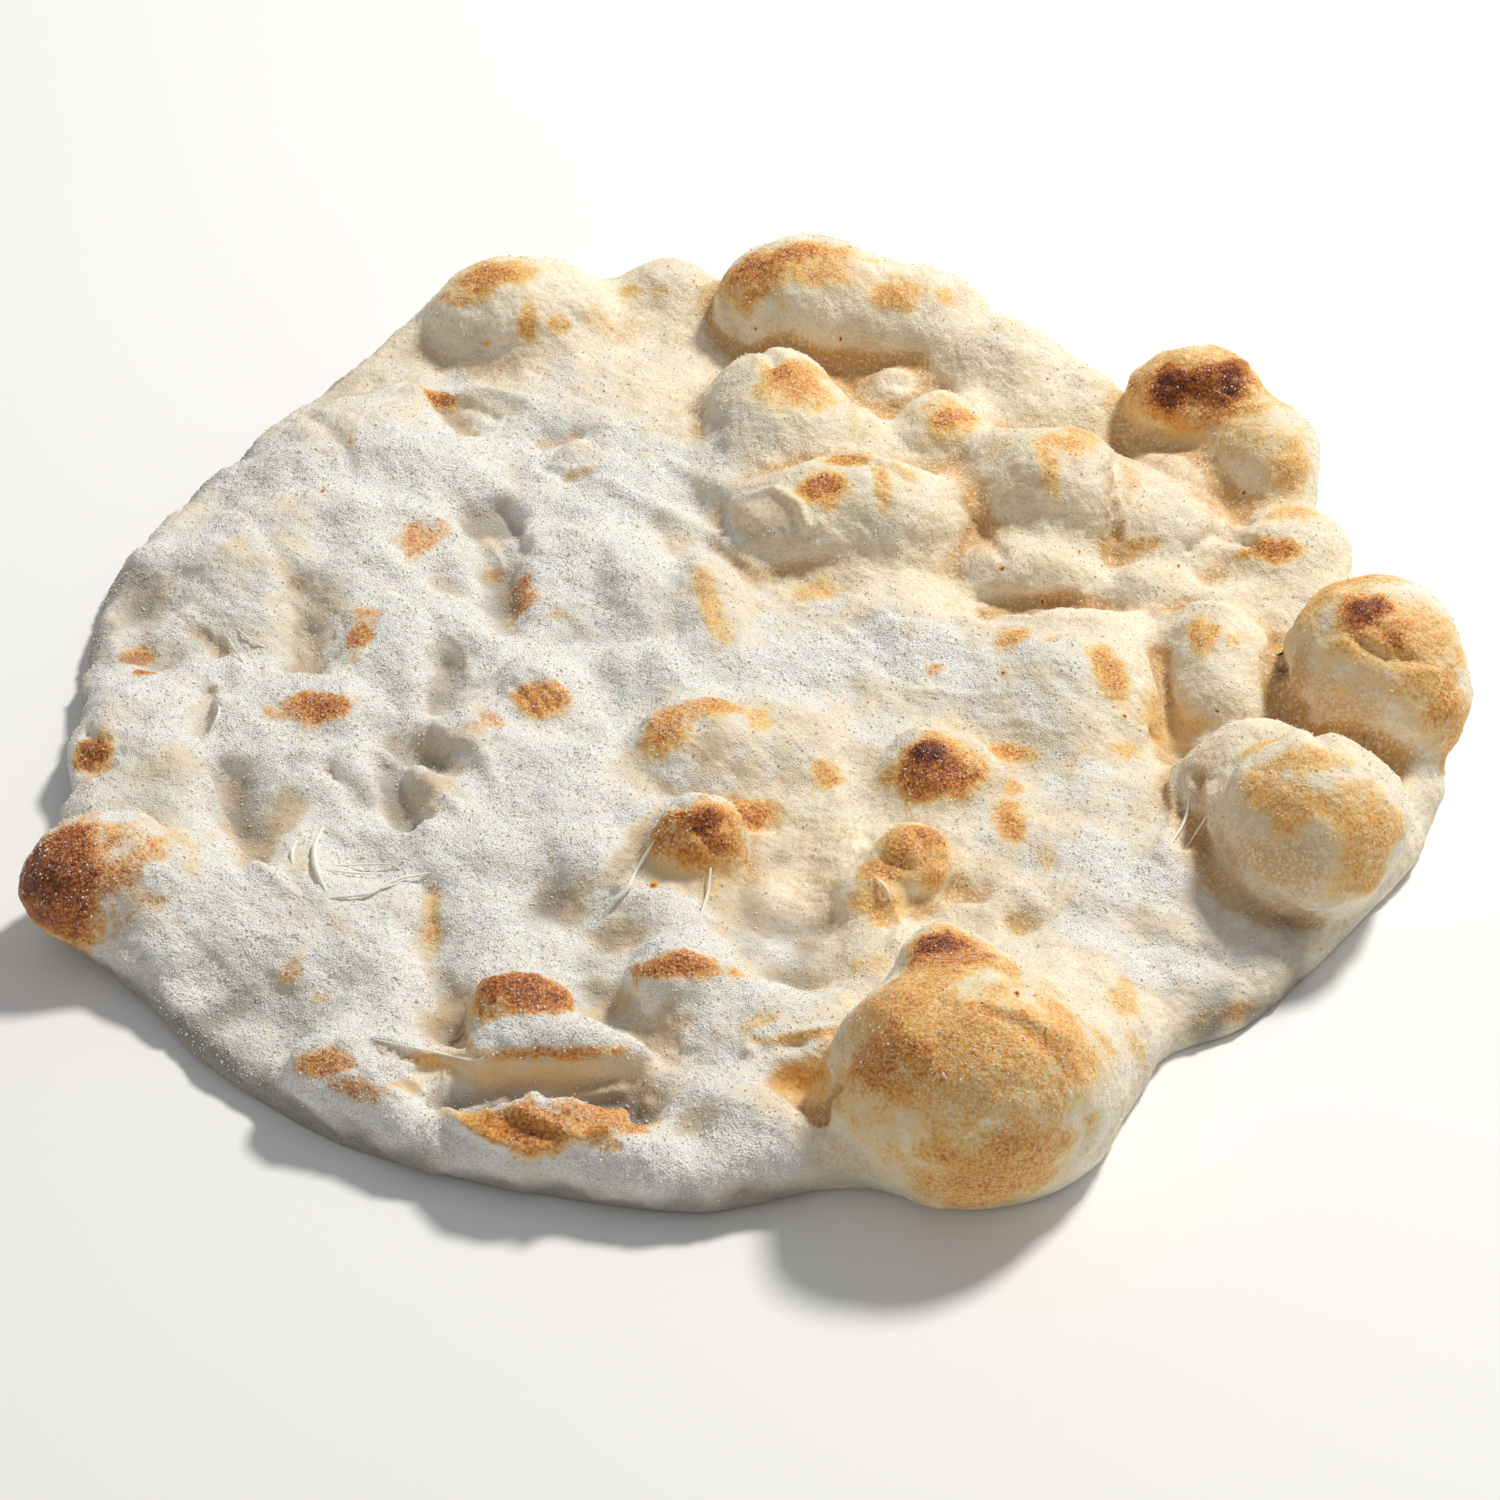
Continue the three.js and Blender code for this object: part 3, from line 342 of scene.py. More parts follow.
# Strings of dough torn across a hollow: thickness, lift, then x and y of each place, as read.
STRINGS = [
    (1.3, 1.2, -94, -47, -95, -54, -94, -61, -91, -67), (0.8, 0.8, -98, -50, -99, -56, -98, -63),
    (0.5, 0.8, -92, -58, -86, -60, -79, -60, -75, -61), (0.5, 0.9, -92, -60, -86, -62, -80, -61),
    (0.9, 0.7, -92, -69, -87, -69, -82, -68, -77, -64, -71, -62), (0.5, 0.6, -83, -68, -78, -66, -73, -63),
    (1, 0.9, -24, -52, -27, -60, -29, -66, -32, -71, -35, -75), (0.8, 1, -11, -62, -12, -68, -13, -75),
    (0.8, 0.8, -122, -6, -120, -12, -122, -18), (0.5, 0.6, -122, 16, -117, 8, -113, 2),
    (0.5, 0.5, -121, 20, -116, 14, -110, 11), (0.7, 0.8, 22, -62, 24, -66, 26, -70),
    (0.7, 0.7, 90, -36, 89, -46, 85, -57), (0.5, 0.6, 93, -44, 90, -52, 87, -58),
    (0.5, 0.6, -78, -111, -70, -112, -62, -116), (0.6, 0.7, -63, -115, -58, -116, -54, -114),
]
STRING_SIDES = 6
STRING_STEPS = 6  # between one place and the next
STRING_SINK = 0.3  # how deep both ends are set into the dough
STRING_ENDS = 0.35  # thickness at the ends, against the middle
STRING_TAPER = 0.6
STRING_UNEVEN = (5, 0.15)  # length of the unevenness, and its share of the thickness

# Loose grains: their look, how many, and the span of their widths.
GRAINS = {"flour_grains": ("white_flour", 24000, 0.22, 0.5), "semolina_grains": ("semolina", 9000, 0.4, 0.8)}
GRAIN_SHAPES = (0.6, 1.1)  # span of a grain's three half widths, against its size
GRAIN_OUT = 0.45  # how far a grain's middle stands over the surface, against its size
GRAIN_SHARE_BARE = 0.05  # chance of a grain where there is no flour, against where it is thick
GRAIN_SHARE_TOAST = (0.25, 0.3, 0.8)  # toast adds to it: most, and the toast where this starts and is whole
GRAIN_LOWEST = 1  # no grain sits lower than this
SEED = 7

# How colours meet. Ripples move their edges: length, height, seed.
EDGE_RIPPLES = [(9, 0.12, 10), (3.5, 0.06, 11)]
FLOUR_RIPPLES = [(24, 0.08, 5), (8, 0.06, 6)]
FOOT_RIPPLES = [(12, 1, 7)]
FLOUR_SHIFTS = [[(14, 3, 12)], [(14, 3, 13)], [(14, 3, 14)]]  # these move the flour's places along x, y and z
DOT_STRENGTH = 110
TAN_SHARE = 0.75  # of the tan rows' strength
# What a valley adds of painted shade, as warm tan and as thin flour over shaded dough: most, and how deep in
# mm it is where this starts and is whole.
VALLEY_SHADE_TAN = (0.95, 0.15, 1.8)
VALLEY_THIN_AND_SHADE = (0.55, 0.15, 1.5)
STEEP_FLOUR = 0.75  # flour on walls, against level dough
THIN_LOSS = 0.85  # the share of flour that thin places and stretched skin lose
TOAST_LOSS = (0.8, 0.08, 0.8)  # the same for toast: most, and the toast where this starts and is whole

# ---- Light.
KEY_AZIMUTH = math.radians(44)  # from +X towards +Y, so from behind at the right
KEY_HEIGHT = math.radians(53)
KEY_DISTANCE = 1.6
KEY_SIZE = 0.26
KEY_POWER = 23
KEY_COLOUR = (1.0, 0.965, 0.91)
SKY_COLOUR = (0.955, 0.965, 0.97, 1)
SKY_STRENGTH = 0.34
FLOOR_REACH = 3.0
FLOOR_GAP = 0.0002  # how far the floor lies under the base


def smooth_step(low, high, value):
    t = np.clip((value - low) / (high - low), 0, 1)
    return t * t * (3 - 2 * t)


def rising(most, low, high, value):
    return most * smooth_step(low, high, value)


def unit(vectors):
    return vectors / np.maximum(np.linalg.norm(vectors, axis=-1, keepdims=True), 1e-12)


def in_turned_axes(u, v, turn):
    c, s = math.cos(math.radians(turn)), math.sin(math.radians(turn))
    return u * c + v * s, v * c - u * s


# ---- The dough's field: below 0 inside it, and growing by about 1 for each millimetre outside.
def round_the_rim(values):
    """A periodic cubic through values at the rim points' angles, read at even steps."""
    angles = np.unwrap(np.arctan2(RIM[:, 1], RIM[:, 0]))
    even = np.arange(RIM_STEPS) * 2 * math.pi / RIM_STEPS
    turned = angles[0] + (even - angles[0]) % (2 * math.pi)
    i = np.searchsorted(angles, turned, side="right") - 1
    ends = np.append(angles[1:], angles[0] + 2 * math.pi)
    t = (turned - angles[i]) / (ends[i] - angles[i])
    before, start, end, after = [values[(i + k) % len(values)] for k in (-1, 0, 1, 2)]
    slope_in, slope_out = (end - before) / 2, (after - start) / 2
    return (
        (2 * t**3 - 3 * t**2 + 1) * start
        + (t**3 - 2 * t**2 + t) * slope_in
        + (3 * t**2 - 2 * t**3) * end
        + (t**3 - t**2) * slope_out
    )


RIM_RADII = round_the_rim(np.hypot(RIM[:, 0], RIM[:, 1]))
ROLL_HEIGHTS = round_the_rim(RIM[:, 2])
EVEN_ANGLES = np.arange(RIM_STEPS) * 2 * math.pi / RIM_STEPS


def at_angle(table, angle):
    return np.interp(angle, EVEN_ANGLES, table, period=2 * math.pi)


def sheet_distance(x, y, z):
    angle = np.arctan2(y, x)
    radius = at_angle(RIM_RADII, angle)
    turned = at_angle(RIM_RADII, angle + SLOPE_ANGLE) - at_angle(RIM_RADII, angle - SLOPE_ANGLE)
    edge = (np.hypot(x, y) - radius) / np.hypot(1, turned / (2 * SLOPE_ANGLE) / radius)
    in_roll = smooth_step(-ROLL_INNER, -ROLL_OUTER, edge)
    swell = WAVE_HEIGHT * np.sin(x / WAVE_X + 1) * np.sin(y / WAVE_Y + x / WAVE_SLANT)
    top = SHEET_TOP + (at_angle(ROLL_HEIGHTS, angle) - SHEET_TOP) * in_roll + swell
    half = (top + SHEET_SINK) / 2
    return np.hypot(np.maximum(edge + half, 0), np.abs(z - top + half)) - half


def ellipsoid_distance(row, x, y, z):
    """A close measure of the distance to a turned ellipsoid."""
    cx, cy, cz, length, width, height, _, turn = (*row, 0)[:8]
    u, v = in_turned_axes(x - cx, y - cy, turn)
    w = z - cz
    k0 = np.sqrt((u / length) ** 2 + (v / width) ** 2 + (w / height) ** 2)
    k1 = np.sqrt((u / length**2) ** 2 + (v / width**2) ** 2 + (w / height**2) ** 2)
    return k0 * (k0 - 1) / np.maximum(k1, 1e-9)


def soft_min(a, b, softness):
    overlap = np.maximum(softness - np.abs(a - b), 0) / softness
    return np.minimum(a, b) - overlap**2 * softness / 4


def hollow_depth(x, y):
    depth = np.zeros_like(x)
    for x0, y0, x1, y1, width, deep in HOLLOWS:
        along = ((x - x0) * (x1 - x0) + (y - y0) * (y1 - y0)) / ((x1 - x0) ** 2 + (y1 - y0) ** 2)
        t = np.clip(along, 0, 1)
        off2 = (x - x0 - t * (x1 - x0)) ** 2 + (y - y0 - t * (y1 - y0)) ** 2
        depth += deep * np.exp(-off2 / width**2)
    return depth


def dough_distance(points):
    x, y, z = points.T
    distance = sheet_distance(x, y, z)
    for row in BUBBLES:
        cx, cy, _, length, width, _, softness = row[:7]
        reach = max(length, width) + BUBBLE_REACH
        near = np.flatnonzero((np.abs(x - cx) < reach) & (np.abs(y - cy) < reach))
        bubble = ellipsoid_distance(row, x[near], y[near], z[near])
        distance[near] = soft_min(distance[near], bubble, softness * SHARPNESS)
    distance += hollow_depth(x, y) * smooth_step(NO_DEPTH_AT, FULL_DEPTH_AT, z)
    for row in POCKETS:
        pocket = ellipsoid_distance(row, x, y, z)
        distance = -soft_min(-distance, pocket, row[6])
    return distance


def gradient(points, here):
    steps = GRADIENT_STEP * np.eye(3)
    return np.stack([(dough_distance(points + step) - here) / GRADIENT_STEP for step in steps], 1)


def settle(points, steps, level=False):
    """Moves points onto the dough's surface, or along the floor to its edge, and gives the field's slopes."""
    for _ in range(steps):
        here = dough_distance(points)
        slopes = gradient(points, here)
        if level:
            slopes[:, 2] = 0
        move = here / np.maximum((slopes**2).sum(1), LEAST_SLOPE)
        points = points - slopes * np.clip(move, -LONGEST_MOVE, LONGEST_MOVE)[:, None]
    return points, slopes


# ---- The mesh: the solid's own triangles, cut finer.
def solid_mesh():
    """Corner points in mm and triangles of the solid, with points that coincide merged."""
    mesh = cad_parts["crust"].data
    mesh.calc_loop_triangles()
    points = np.empty(len(mesh.vertices) * 3, np.float32)
    mesh.vertices.foreach_get("co", points)
    triangles = np.empty(len(mesh.loop_triangles) * 3, np.int32)
    mesh.loop_triangles.foreach_get("vertices", triangles)
    return welded(np.round(points.reshape(-1, 3).astype(float) / MM, 3), triangles.reshape(-1, 3))


def welded(points, triangles):
    _, first, where = np.unique(points, axis=0, return_index=True, return_inverse=True)
    return points[first], where.reshape(-1)[triangles]


def cut_finer(points, triangles, cuts):
    """Cuts each triangle into cuts by cuts, with its corners in one order, so that neighbours agree."""
    corners = np.sort(triangles, axis=1)
    places = [(i, j) for i in range(cuts + 1) for j in range(cuts + 1 - i)]
    number = {place: k for k, place in enumerate(places)}
    weights = np.array([(cuts - i - j, i, j) for i, j in places]) / cuts
    up = [(number[i, j], number[i + 1, j], number[i, j + 1]) for i, j in places if i + j < cuts]
    down = [
        (number[i + 1, j], number[i + 1, j + 1], number[i, j + 1]) for i, j in places if i + j < cuts - 1
    ]
    small = np.array(up + down)
    fine = sum(weights[None, :, k, None] * points[corners[:, k]][:, None, :] for k in range(3))
    starts = len(places) * np.arange(len(triangles))[:, None, None]
    made = small[None] + starts
    before, after = facing(points, triangles), facing(points, corners)
    turned = (before * after).sum(1) < 0
    made[turned] = made[turned][:, :, ::-1]
    return welded(fine.reshape(-1, 3), made.reshape(-1, 3))


def facing(points, triangles):
    a, b, c = [points[triangles[:, k]] for k in range(3)]
    return np.cross(b - a, c - a)


def point_normals(points, triangles):
    normals = np.zeros_like(points)
    faces = facing(points, triangles)
    for axis in range(3):
        for corner in range(3):
            normals[:, axis] += np.bincount(triangles[:, corner], faces[:, axis], len(points))
    return unit(normals)


def edges_of(triangles):
    pairs = np.concatenate([triangles[:, [0, 1]], triangles[:, [1, 2]], triangles[:, [2, 0]]])
    return np.unique(np.sort(pairs, axis=1), axis=0)


def neighbour_means(values, edges, counts):
    """Each point's mean over its neighbours, for each column of values."""
    a, b = edges.T
    sums = [np.bincount(a, col[b], len(col)) + np.bincount(b, col[a], len(col)) for col in values.T]
    return np.stack(sums, 1) / counts[:, None]


def settled_dough(points, triangles):
    """The fine points on the dough's surface, evenly spread along it, over a flat foot."""
    low = points[:, 2] < ON_FLOOR
    under = low[triangles].all(1)
    foot = np.zeros(len(points), bool)
    foot[triangles[~under].reshape(-1)] = True
    foot &= low
    free = ~low
    edges = edges_of(triangles)
    counts = np.bincount(edges.reshape(-1), minlength=len(points)).astype(float)
    points[foot] = settle(points[foot], SETTLE_STEPS, level=True)[0]
    points[free], slopes = settle(points[free], SETTLE_STEPS)
    for _ in range(SLIDES):
        middle = neighbour_means(points, edges, counts)[free]
        normals = unit(slopes)
        move = middle - points[free]
        move -= normals * (move * normals).sum(1)[:, None]
        points[free], slopes = settle(points[free] + SLIDE_SHARE * move, 1)
    points[:, 2] = np.maximum(points[:, 2], 0)
    return points, edges, counts


# ---- Reading places off the picture.
EYE = np.array(CAMERA_TARGET) + CAMERA_DISTANCE * np.array(
    (0, -math.cos(CAMERA_HEIGHT_ANGLE), math.sin(CAMERA_HEIGHT_ANGLE))
)
SEEN_RIGHT = np.array((1.0, 0, 0))
SEEN_UP = np.array((0, math.sin(CAMERA_HEIGHT_ANGLE), math.cos(CAMERA_HEIGHT_ANGLE)))
SIGHT_WIDTH = 1.2
LEAST_TILT = 0.45
PATCH_REACH = 1.8  # how far round a spot its points are worked out, against its size
PATCH_THICKNESS = (0.45, 1.5)  # how thick a spot is across the dough: share of its size, and mm


def seen(points, x, y):
    """The point nearest to the eye on the line of sight through (x, y) of the reading plane."""
    way = unit(np.array((x, y, READING_HEIGHT)) - EYE)
    along = (points - EYE) @ way
    off = np.linalg.norm(points - EYE - along[:, None] * way, axis=1)
    near = np.flatnonzero(off < SIGHT_WIDTH)
    if len(near) == 0:
        return int(np.argmin(off))
    return int(near[np.argmin(along[near])])


def seen_along(points, flat):
    """The points seen at places given as x, y, x, y and so on."""
    return [seen(points, x, y) for x, y in zip(flat[::2], flat[1::2])]


def patch(points, normals, x, y, width, depth, turn=0, wobble=None):
    """How far each point lies from a spot's middle, where 1 is the edge of its ellipse on the dough."""
    here = seen(points, x, y)
    normal = normals[here]
    right = unit(SEEN_RIGHT - normal * (SEEN_RIGHT @ normal))
    up = np.cross(normal, right)
    size = max(width, depth)
    near = np.flatnonzero((np.abs(points - points[here]) < PATCH_REACH * size).all(1))
    to = points[near] - points[here]
    u = to @ right * max(right @ SEEN_RIGHT, LEAST_TILT)
    v = to @ up * max(up @ SEEN_UP, LEAST_TILT) / SEEN_UP[1]
    across, along = in_turned_axes(u, v, turn)
    out = to @ normal / (PATCH_THICKNESS[0] * size + PATCH_THICKNESS[1])
    far = np.sqrt((across / (width / 2)) ** 2 + (along / (depth / 2)) ** 2 + out**2)
    return near, far if wobble is None else far + wobble[near]


def line_distance(points, places):
    """Distance of each point near a line through places, and which points those are."""
    low, high = np.min(places, 0) - LINE_REACH, np.max(places, 0) + LINE_REACH
    near = np.flatnonzero(((points > low) & (points < high)).all(1))
    best = np.full(len(near), np.inf)
    for a, b in zip(places[:-1], places[1:]):
        t = np.clip((points[near] - a) @ (b - a) / max((b - a) @ (b - a), 1e-9), 0, 1)
        best = np.minimum(best, np.linalg.norm(points[near] - a - t[:, None] * (b - a), axis=1))
    return near, best


def ripple(points, length, seed, waves=28):
    """Smooth noise about 1 high, with bumps about half a length across: waves in random directions."""
    rng = np.random.default_rng(seed)
    ways = unit(rng.normal(size=(waves, 3))) * rng.uniform(0.7, 1.5, (waves, 1)) * 2 * math.pi / length
    phases = rng.uniform(0, 2 * math.pi, waves)
    return np.cos(points @ ways.T + phases).sum(1) / math.sqrt(waves / 2)


def rippled(values, points, rows):
    """The values with a ripple added for each row's length, height and seed."""
    for length, height, seed in rows:
        values = values + height * ripple(points, length, SEED + seed)
    return values


def marks(points, normals, rows, wobble, inner=0.4, outer=1.6):
    """The strongest of the rows' spots at each point, each whole inside inner and gone outside outer."""
    value = np.zeros(len(points))
    for row in rows:
        x, y, width, depth, strength, turn = (*row, 0)[:6]
        near, far = patch(points, normals, x, y, width, depth, turn, wobble)
        value[near] = np.maximum(value[near], strength / 100 * smooth_step(outer, inner, far))
    return value


def level_marks(points, rows, inner=0.5, outer=1.2):
    """The sum of the rows' spots at each point, as they lie on the level."""
    value = np.zeros(len(points))
    for row in rows:
        x, y, width, depth, strength, turn = (*row, 0)[:6]
        u, v = in_turned_axes(points[:, 0] - x, points[:, 1] - y, turn)
        value += strength / 100 * smooth_step(outer, inner, np.hypot(u / (width / 2), v / (depth / 2)))
    return value


def hollowness(points, normals, edges, counts):
    """How far the surface lies under its own smoothed form, in mm: above 0 in valleys."""
    smooth = points
    for _ in range(HOLLOW_PASSES):
        smooth = neighbour_means(smooth, edges, counts)
    return ((smooth - points) * normals).sum(1)


def relief(points, normals, taut, flour):
    """How far the fine relief stands out from the settled dough."""
    height = np.zeros(len(points))
    for tall, width, *places in LINES:
        near, far = line_distance(points, points[seen_along(points, places)])
        height[near] += LINE_LIFT * tall * np.exp(-((far / width) ** 2))
    for x, y, tall, width, depth in LUMPS:
        near, far = patch(points, normals, x, y, width, depth)
        height[near] += tall * np.exp(-(far**2))
    rough = 1 - SMOOTH_SKIN * taut
    for k, (length, tall, in_flour, kept) in enumerate(RELIEF):
        uneven = (tall + in_flour * flour) * ripple(points, length, SEED + 1 + k)
        height += uneven * (kept + (1 - kept) * rough)
    return height * smooth_step(0, FADE_HEIGHT, points[:, 2])


# ---- Blender objects.
def make_mesh(name, points, triangles, attributes=()):
    mesh = bpy.data.meshes.new(name)
    mesh.vertices.add(len(points))
    mesh.vertices.foreach_set("co", (points * MM).astype(np.float32).reshape(-1))
    mesh.loops.add(triangles.size)
    mesh.loops.foreach_set("vertex_index", triangles.astype(np.int32).reshape(-1))
    mesh.polygons.add(len(triangles))
    mesh.polygons.foreach_set("loop_start", np.arange(0, triangles.size, 3, dtype=np.int32))
    mesh.update(calc_edges=True)
    mesh.validate()
    mesh.shade_smooth()
    for key, values in dict(attributes).items():
        layer = mesh.attributes.new(key, "FLOAT", "POINT")
        layer.data.foreach_set("value", values.astype(np.float32))
    piece = bpy.data.objects.new(name, mesh)
    bpy.context.scene.collection.objects.link(piece)
    return piece


def string_tube(points, normals, thickness, lift, places):
    """Points and triangles of one torn string of dough, thin at both ends, lifted off the surface."""
    at = seen_along(points, places)
    line = points[at] + normals[at] * lift
    for end in (0, -1):
        line[end] = points[at[end]] - STRING_SINK * normals[at[end]]
    padded = np.concatenate([2 * line[:1] - line[1:2], line, 2 * line[-1:] - line[-2:-1]])
    t = np.arange(STRING_STEPS)[:, None] / STRING_STEPS
    parts = []
    for p0, p1, p2, p3 in zip(padded, padded[1:], padded[2:], padded[3:]):
        second = (2 * p0 - 5 * p1 + 4 * p2 - p3) * t**2
        third = (3 * p1 - 3 * p2 + p3 - p0) * t**3
        parts.append(0.5 * (2 * p1 + (p2 - p0) * t + second + third))
    path = np.concatenate(parts + [line[-1:]])
    ways = unit(np.gradient(path, axis=0))
    side = unit(np.cross(ways, (0, 0, 1.0)))
    up = np.cross(side, ways)
    share = np.linspace(0, 1, len(path))
    swell = STRING_ENDS + (1 - STRING_ENDS) * np.sin(math.pi * share) ** STRING_TAPER
    radius = thickness / 2 * rippled(swell, path, [(*STRING_UNEVEN, 0)])
    angles = np.arange(STRING_SIDES) * 2 * math.pi / STRING_SIDES
    ring = side[:, None] * np.cos(angles)[None, :, None] + up[:, None] * np.sin(angles)[None, :, None]
    around = path[:, None] + ring * radius[:, None, None]
    i = np.arange(len(path) - 1)[:, None] * STRING_SIDES
    k = np.arange(STRING_SIDES)[None]
    n = (k + 1) % STRING_SIDES
    a, b, c, d = i + k, i + n, i + STRING_SIDES + n, i + STRING_SIDES + k
    walls = np.concatenate([np.stack([a, b, c], -1).reshape(-1, 3), np.stack([a, c, d], -1).reshape(-1, 3)])
    last = (len(path) - 1) * STRING_SIDES
    fan = np.arange(1, STRING_SIDES - 1)
    ends = [np.stack([0 * fan, fan + 1, fan], -1), last + np.stack([0 * fan, fan, fan + 1], -1)]
    return around.reshape(-1, 3), np.concatenate([walls, *ends])


def dough_strings(points, normals):
    all_points, all_triangles, count = [], [], 0
    for thickness, lift, *places in STRINGS:
        made, triangles = string_tube(points, normals, thickness, lift, places)
        all_points.append(made)
        all_triangles.append(triangles + count)
        count += len(made)
    return np.concatenate(all_points), np.concatenate(all_triangles)


def scattered_grains(points, triangles, normals, density, count, small, large, seed):
    """Eight-sided grains of many sizes and turns, set a little into the surface where density allows."""
    rng = np.random.default_rng(seed)
    area = np.linalg.norm(facing(points, triangles), axis=1)
    chance = area * density[triangles].mean(1)
    chosen = rng.choice(len(triangles), count, p=chance / chance.sum())
    mix = rng.dirichlet((1, 1, 1), count)
    middle = (points[triangles[chosen]] * mix[:, :, None]).sum(1)
    normal = unit((normals[triangles[chosen]] * mix[:, :, None]).sum(1))
    size = rng.uniform(small, large, count) / 2
    first = unit(rng.normal(size=(count, 3)))
    second = unit(np.cross(first, rng.normal(size=(count, 3))))
    third = np.cross(first, second)
    shapes = rng.uniform(*GRAIN_SHAPES, (count, 3, 1))
    axes = np.stack([first, second, third], 1) * shapes * size[:, None, None]
    corners = np.concatenate([axes, -axes], 1) + (middle + normal * size[:, None] * GRAIN_OUT)[:, None]
    faces = [(0, 1, 2), (1, 3, 2), (3, 4, 2), (4, 0, 2), (1, 0, 5), (3, 1, 5), (4, 3, 5), (0, 4, 5)]
    made = np.array(faces)[None] + 6 * np.arange(count)[:, None, None]
    return corners.reshape(-1, 3), made.reshape(-1, 3)


# ---- Materials.
def linear(red, green, blue):
    """A colour as a screen shows it, from 0 to 255, in linear light."""
    parts = [v / 255 for v in (red, green, blue)]
    return tuple(v / 12.92 if v <= 0.04045 else ((v + 0.055) / 1.055) ** 2.4 for v in parts) + (1.0,)


CREAM = linear(247, 238, 217)
CREAM_DARK = linear(240, 227, 197)
# tan dough, also the colour of the painted warm shade
TAN_DOUGH = linear(206, 162, 98)
SHADED_DOUGH = linear(209, 189, 160)
FLOUR_WHITE = linear(252, 250, 245)
FLOUR_GREY = linear(224, 220, 211)
SPECK_WHITE = linear(250, 241, 224)
# painted shade, partly bare grey dough, for the rim's low foot
FOOT_SHADE_GREY = linear(140, 132, 119)
TOAST_RAMP = [
    (0.00, CREAM), (0.24, linear(240, 208, 150)), (0.38, linear(233, 182, 106)), (0.48, linear(222, 156, 76)),
    (0.58, linear(198, 120, 52)), (0.68, linear(160, 86, 36)), (0.80, linear(104, 53, 29)),
    (0.95, linear(50, 29, 29)),
]
TOAST_RANGE = 1.25
# Sizes in mm and detail of the noise for grains, specks, pimples and blotches.
NOISES = [(0.42, 1.0), (0.75, 2.0), (1.9, 3.0), (9.0, 3.0)]
BUMP = (0.6 * MM, 0.9)
DOUGH_SURFACE = {
    "Subsurface Weight": 0.3,
    "Subsurface Radius": (3.0, 1.6, 0.8),
    "Subsurface Scale": MM,
    "Specular IOR Level": 0.3,
}
# Plain looks: two near colours as a screen shows them, the mottling's size, roughness, and the bump in mm.
PLAIN_LOOKS = {
    "pale_floor": ((247, 247, 247), (250, 250, 250), 400, 0.9, 1),
    "string_dough": ((240, 236, 222), (250, 248, 240), 1.2, 0.7, 0.1),
    "white_flour": ((240, 240, 238), (252, 252, 250), 3.0, 0.9, 0.05),
    "semolina": ((240, 230, 205), (250, 246, 236), 3.0, 0.8, 0.05),
}


class Shader:
    """A material whose nodes are added one call at a time."""

    def __init__(self, name):
        self.material = bpy.data.materials.new(name)
        self.material.use_nodes = True
        self.nodes = self.material.node_tree.nodes
        self.links = self.material.node_tree.links
        self.surface = self.nodes["Principled BSDF"]

    def put(self, socket, value):
        if isinstance(value, bpy.types.NodeSocket):
            self.links.new(value, socket)
        else:
            socket.default_value = value

    def set(self, name, value):
        self.put(self.surface.inputs[name], value)

    def node(self, kind, inputs=(), **settings):
        made = self.nodes.new("ShaderNode" + kind)
        for key, value in settings.items():
            setattr(made, key, value)
        for key, value in dict(inputs).items():
            self.put(made.inputs[key], value)
        return made

    def attribute(self, name):
        return self.node("Attribute", attribute_name=name).outputs["Fac"]

    def place(self):
        """Where a point of the object is, in millimetres."""
        object_place = self.node("TexCoord").outputs["Object"]
        return self.node("VectorMath", {0: object_place, 3: 1 / MM}, operation="SCALE").outputs[0]

    def noise(self, place, size, detail=2.0, roughness=0.5):
        """Noise from 0 to 1 whose lumps are about size millimetres apart."""
        inputs = {"Vector": place, "Scale": 1 / size, "Detail": detail, "Roughness": roughness}
        return self.node("TexNoise", inputs).outputs["Fac"]

    def math(self, operation, a, b=0.0, c=0.0, clamp=False):
        return self.node("Math", {0: a, 1: b, 2: c}, operation=operation, use_clamp=clamp).outputs[0]

    def times(self, a, b):
        return self.math("MULTIPLY", a, b)

    def times_plus(self, a, b, c):
        return self.math("MULTIPLY_ADD", a, b, c)

    def stirred(self, value, noise, share):
        """A value that noise moves up and down."""
        return self.times_plus(self.math("SUBTRACT", noise, 0.5), share, value)

    def step(self, value, low, high):
        """0 below low and 1 above high, and smooth between."""
        inputs = {"Value": value, "From Min": low, "From Max": high}
        return self.node("MapRange", inputs, interpolation_type="SMOOTHSTEP").outputs["Result"]

    def mix(self, share, a, b):
        made = self.node("Mix", data_type="RGBA")
        self.put(made.inputs["Factor"], share)
        self.put(made.inputs["A"], a)
        self.put(made.inputs["B"], b)
        return made.outputs["Result"]

    def ramp(self, value, stops):
        made = self.node("ValToRGB", {"Fac": value})
        elements = made.color_ramp.elements
        while len(elements) < len(stops):
            elements.new(0.5)
        for element, (position, colour) in zip(elements, stops):
            element.position = position
            element.color = colour
        return made.outputs["Color"]

    def bump(self, height, distance, strength):
        inputs = {"Height": height, "Distance": distance, "Strength": strength}
        return self.node("Bump", inputs).outputs["Normal"]


